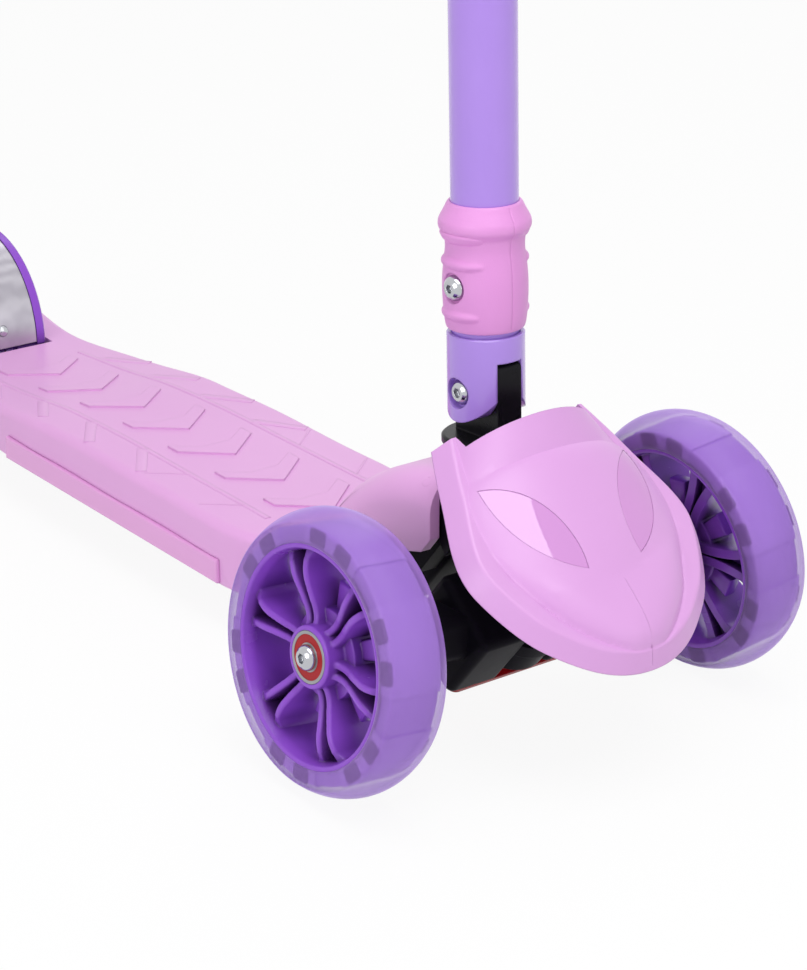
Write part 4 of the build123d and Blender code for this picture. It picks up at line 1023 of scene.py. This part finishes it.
# Height clamp: a split purple nylon collar on the tube's top, drawn together by a chrome
# bolt and a cam lever.
for node in ("height_clamp", "clamp_lever"):
    skinned(node, purple_nylon)
skinned("clamp_bolt", chrome)

# Handlebar: a satin anodised tube that slides in the stem, a purple nylon head on its
# end, and a steel crossbar through it with a plug in each end.
silver = plated("satin_silver", (0.62, 0.63, 0.66), (0.28, 0.36), 0.0004)
skinned("inner_tube", silver)
skinned("handlebar_head", purple_nylon)
skinned("crossbar", steel)
for side in ("left", "right"):
    skinned("grip_plug_" + side, purple_nylon)


# Grips: soft pink rubber pushed on the crossbar, with a flange at the inner end and round
# ribs along the hand.
def along_the_bar():
    tree, start = fresh_tree("along_the_bar", Geometry="Geometry", Count="Int", Pitch="Vector",
                             Finish="Material")
    row = tree.nodes.new("GeometryNodeMeshLine")
    copies = tree.nodes.new("GeometryNodeInstanceOnPoints")
    join = tree.links.new
    join(start.outputs["Count"], row.inputs["Count"])
    join(start.outputs["Pitch"], row.inputs["Offset"])
    join(row.outputs["Mesh"], copies.inputs["Points"])
    join(start.outputs["Geometry"], copies.inputs["Instance"])
    return finished_tree(tree, start, copies.outputs["Instances"])


bar_row = along_the_bar()
pink_rubber = graded("pink_rubber", dark=(0.77, 0.33, 0.70), light=(0.80, 0.36, 0.73), rough=(0.52, 0.62),
                     patch=12, grain=1600, depth=0.0001, edge=0.0006)
rib_count, rib_pitch, first_rib, bar_up = 12, 0.0064, 0.0502, 0.548
grip_line = [(11.0, 40.0, 0.3), (18.6, 40.0, 1.4), (18.9, 43.4, 1.4), (15.0, 45.4, 1.6), (14.8, 125.6, 1.0),
             (16.6, 127.6, 1.2), (16.6, 131.0, 1.4), (15.2, 132.0, 0.6), (11.0, 132.0, 0.3)]
grip_rib = [(14.2, -2.4, 0), (14.9, -2.2, 0.6), (15.9, -1.2, 1.2), (15.9, 1.2, 1.2), (14.9, 2.2, 0.6),
            (14.2, 2.4, 0)]
grip_body = bmesh.new()
turn(grip_body, rounded(grip_line), 96)
grip_mesh = as_mesh(grip_body, "grip_body", 40)
one_rib = bmesh.new()
turn(one_rib, rounded(grip_rib, 3), 96)
rib_mesh = as_mesh(one_rib, "grip_rib", 60)
rib_row = repeated(rib_mesh, bar_row, Count=rib_count, Pitch=(0, 0, rib_pitch), Finish=pink_rubber)
rib_row.transform(Matrix.Translation((0, 0, first_rib)))
bar_place = stem_place @ Matrix.Translation((0, 0, bar_up))
for side, word in both_sides:
    grip = merged("grip", grip_mesh, rib_row)
    grip.transform(bar_place @ Matrix.Rotation(math.radians(-90 * side), 4, "X"))
    place_piece("grip_sleeve_" + word, grip, pink_rubber, "handlebar", "pink_rubber", "grip_" + word)

# Rear wheel: a small purple nylon rim in a frosted tyre, between steel spacers on a bolt
# through the footboard's tail.
skinned("rear_rim", purple_nylon)
rear_cast = graded("rear_cast", dark=(0.42, 0.26, 0.70), light=(0.45, 0.29, 0.73), rough=(0.28, 0.36))
skinned("rear_tyre", rear_cast)
skinned("rear_bearings", race_steel)
skinned("rear_seals", red_cap)
skinned("rear_spacers", steel)
for node in ("rear_axle_bolt", "rear_axle_nut"):
    skinned(node, chrome)

# Mudguard brake: a sprung purple nylon arch on a steel pin, faced with a rolled steel
# wear plate that is held by rivets. The faint waves in the plate's colour are partly the
# rolling mill's marks and partly a painted reflection.
skinned("mudguard", purple_nylon)
rolled_steel = plated("rolled_steel", (0.46, 0.44, 0.49), (0.24, 0.40), 0.0003)
rolled_tree = rolled_steel.node_tree
# Painted reflection: a distorted wave texture mottles the plate's colour, partly mill marks and partly the
# wavy reflection of a bright plate.
mill_and_reflection_waves = rolled_tree.nodes.new("ShaderNodeTexWave")
mill_and_reflection_waves.inputs["Scale"].default_value = 46
mill_and_reflection_waves.inputs["Distortion"].default_value = 7
mill_and_reflection_waves.inputs["Detail"].default_value = 2
mill_and_reflection_tint = rolled_tree.nodes.new("ShaderNodeValToRGB")
mill_and_reflection_tint.color_ramp.elements[0].color = (0.40, 0.38, 0.43, 1)
mill_and_reflection_tint.color_ramp.elements[1].color = (0.50, 0.48, 0.53, 1)
rolled_place = rolled_tree.nodes.new("ShaderNodeTexCoord")
rolled_tree.links.new(rolled_place.outputs["Object"], mill_and_reflection_waves.inputs["Vector"])
rolled_tree.links.new(mill_and_reflection_waves.outputs["Fac"], mill_and_reflection_tint.inputs["Fac"])
rolled_tree.links.new(mill_and_reflection_tint.outputs["Color"], skin_of(rolled_steel)["Base Color"])
skinned("brake_plate", rolled_steel)
skinned("brake_rivets", chrome)
skinned("brake_pin", steel)

# Brake spring: a torsion coil of steel wire wound round the brake pin, with a straight tail
# at each end, that lifts the mudguard off the tyre.
pin = Vector(joint["brake_press"]["pos_m"])
pin_turn = Matrix.Rotation(math.radians(90), 4, "X") @ Matrix.Rotation(math.radians(180), 4, "Z")
torsion_radius, torsion_half, torsion_turns, torsion_wire = 0.0045, 0.0055, 5.5, 0.0006
long_tail, short_tail = 0.013, 0.006
torsion = helix(torsion_radius, -torsion_half, torsion_half, torsion_turns)
lead_in = (torsion[1] - torsion[0]).normalized()
lead_out = (torsion[-1] - torsion[-2]).normalized()
torsion = [torsion[0] - lead_in * long_tail] + torsion + [torsion[-1] + lead_out * short_tail]
spring = wound("brake_spring_coil", torsion, torsion_wire, Matrix.Translation(pin) @ pin_turn)
place_piece("brake_spring_coil", spring, spring_steel, "deck", "steel", "brake_spring")
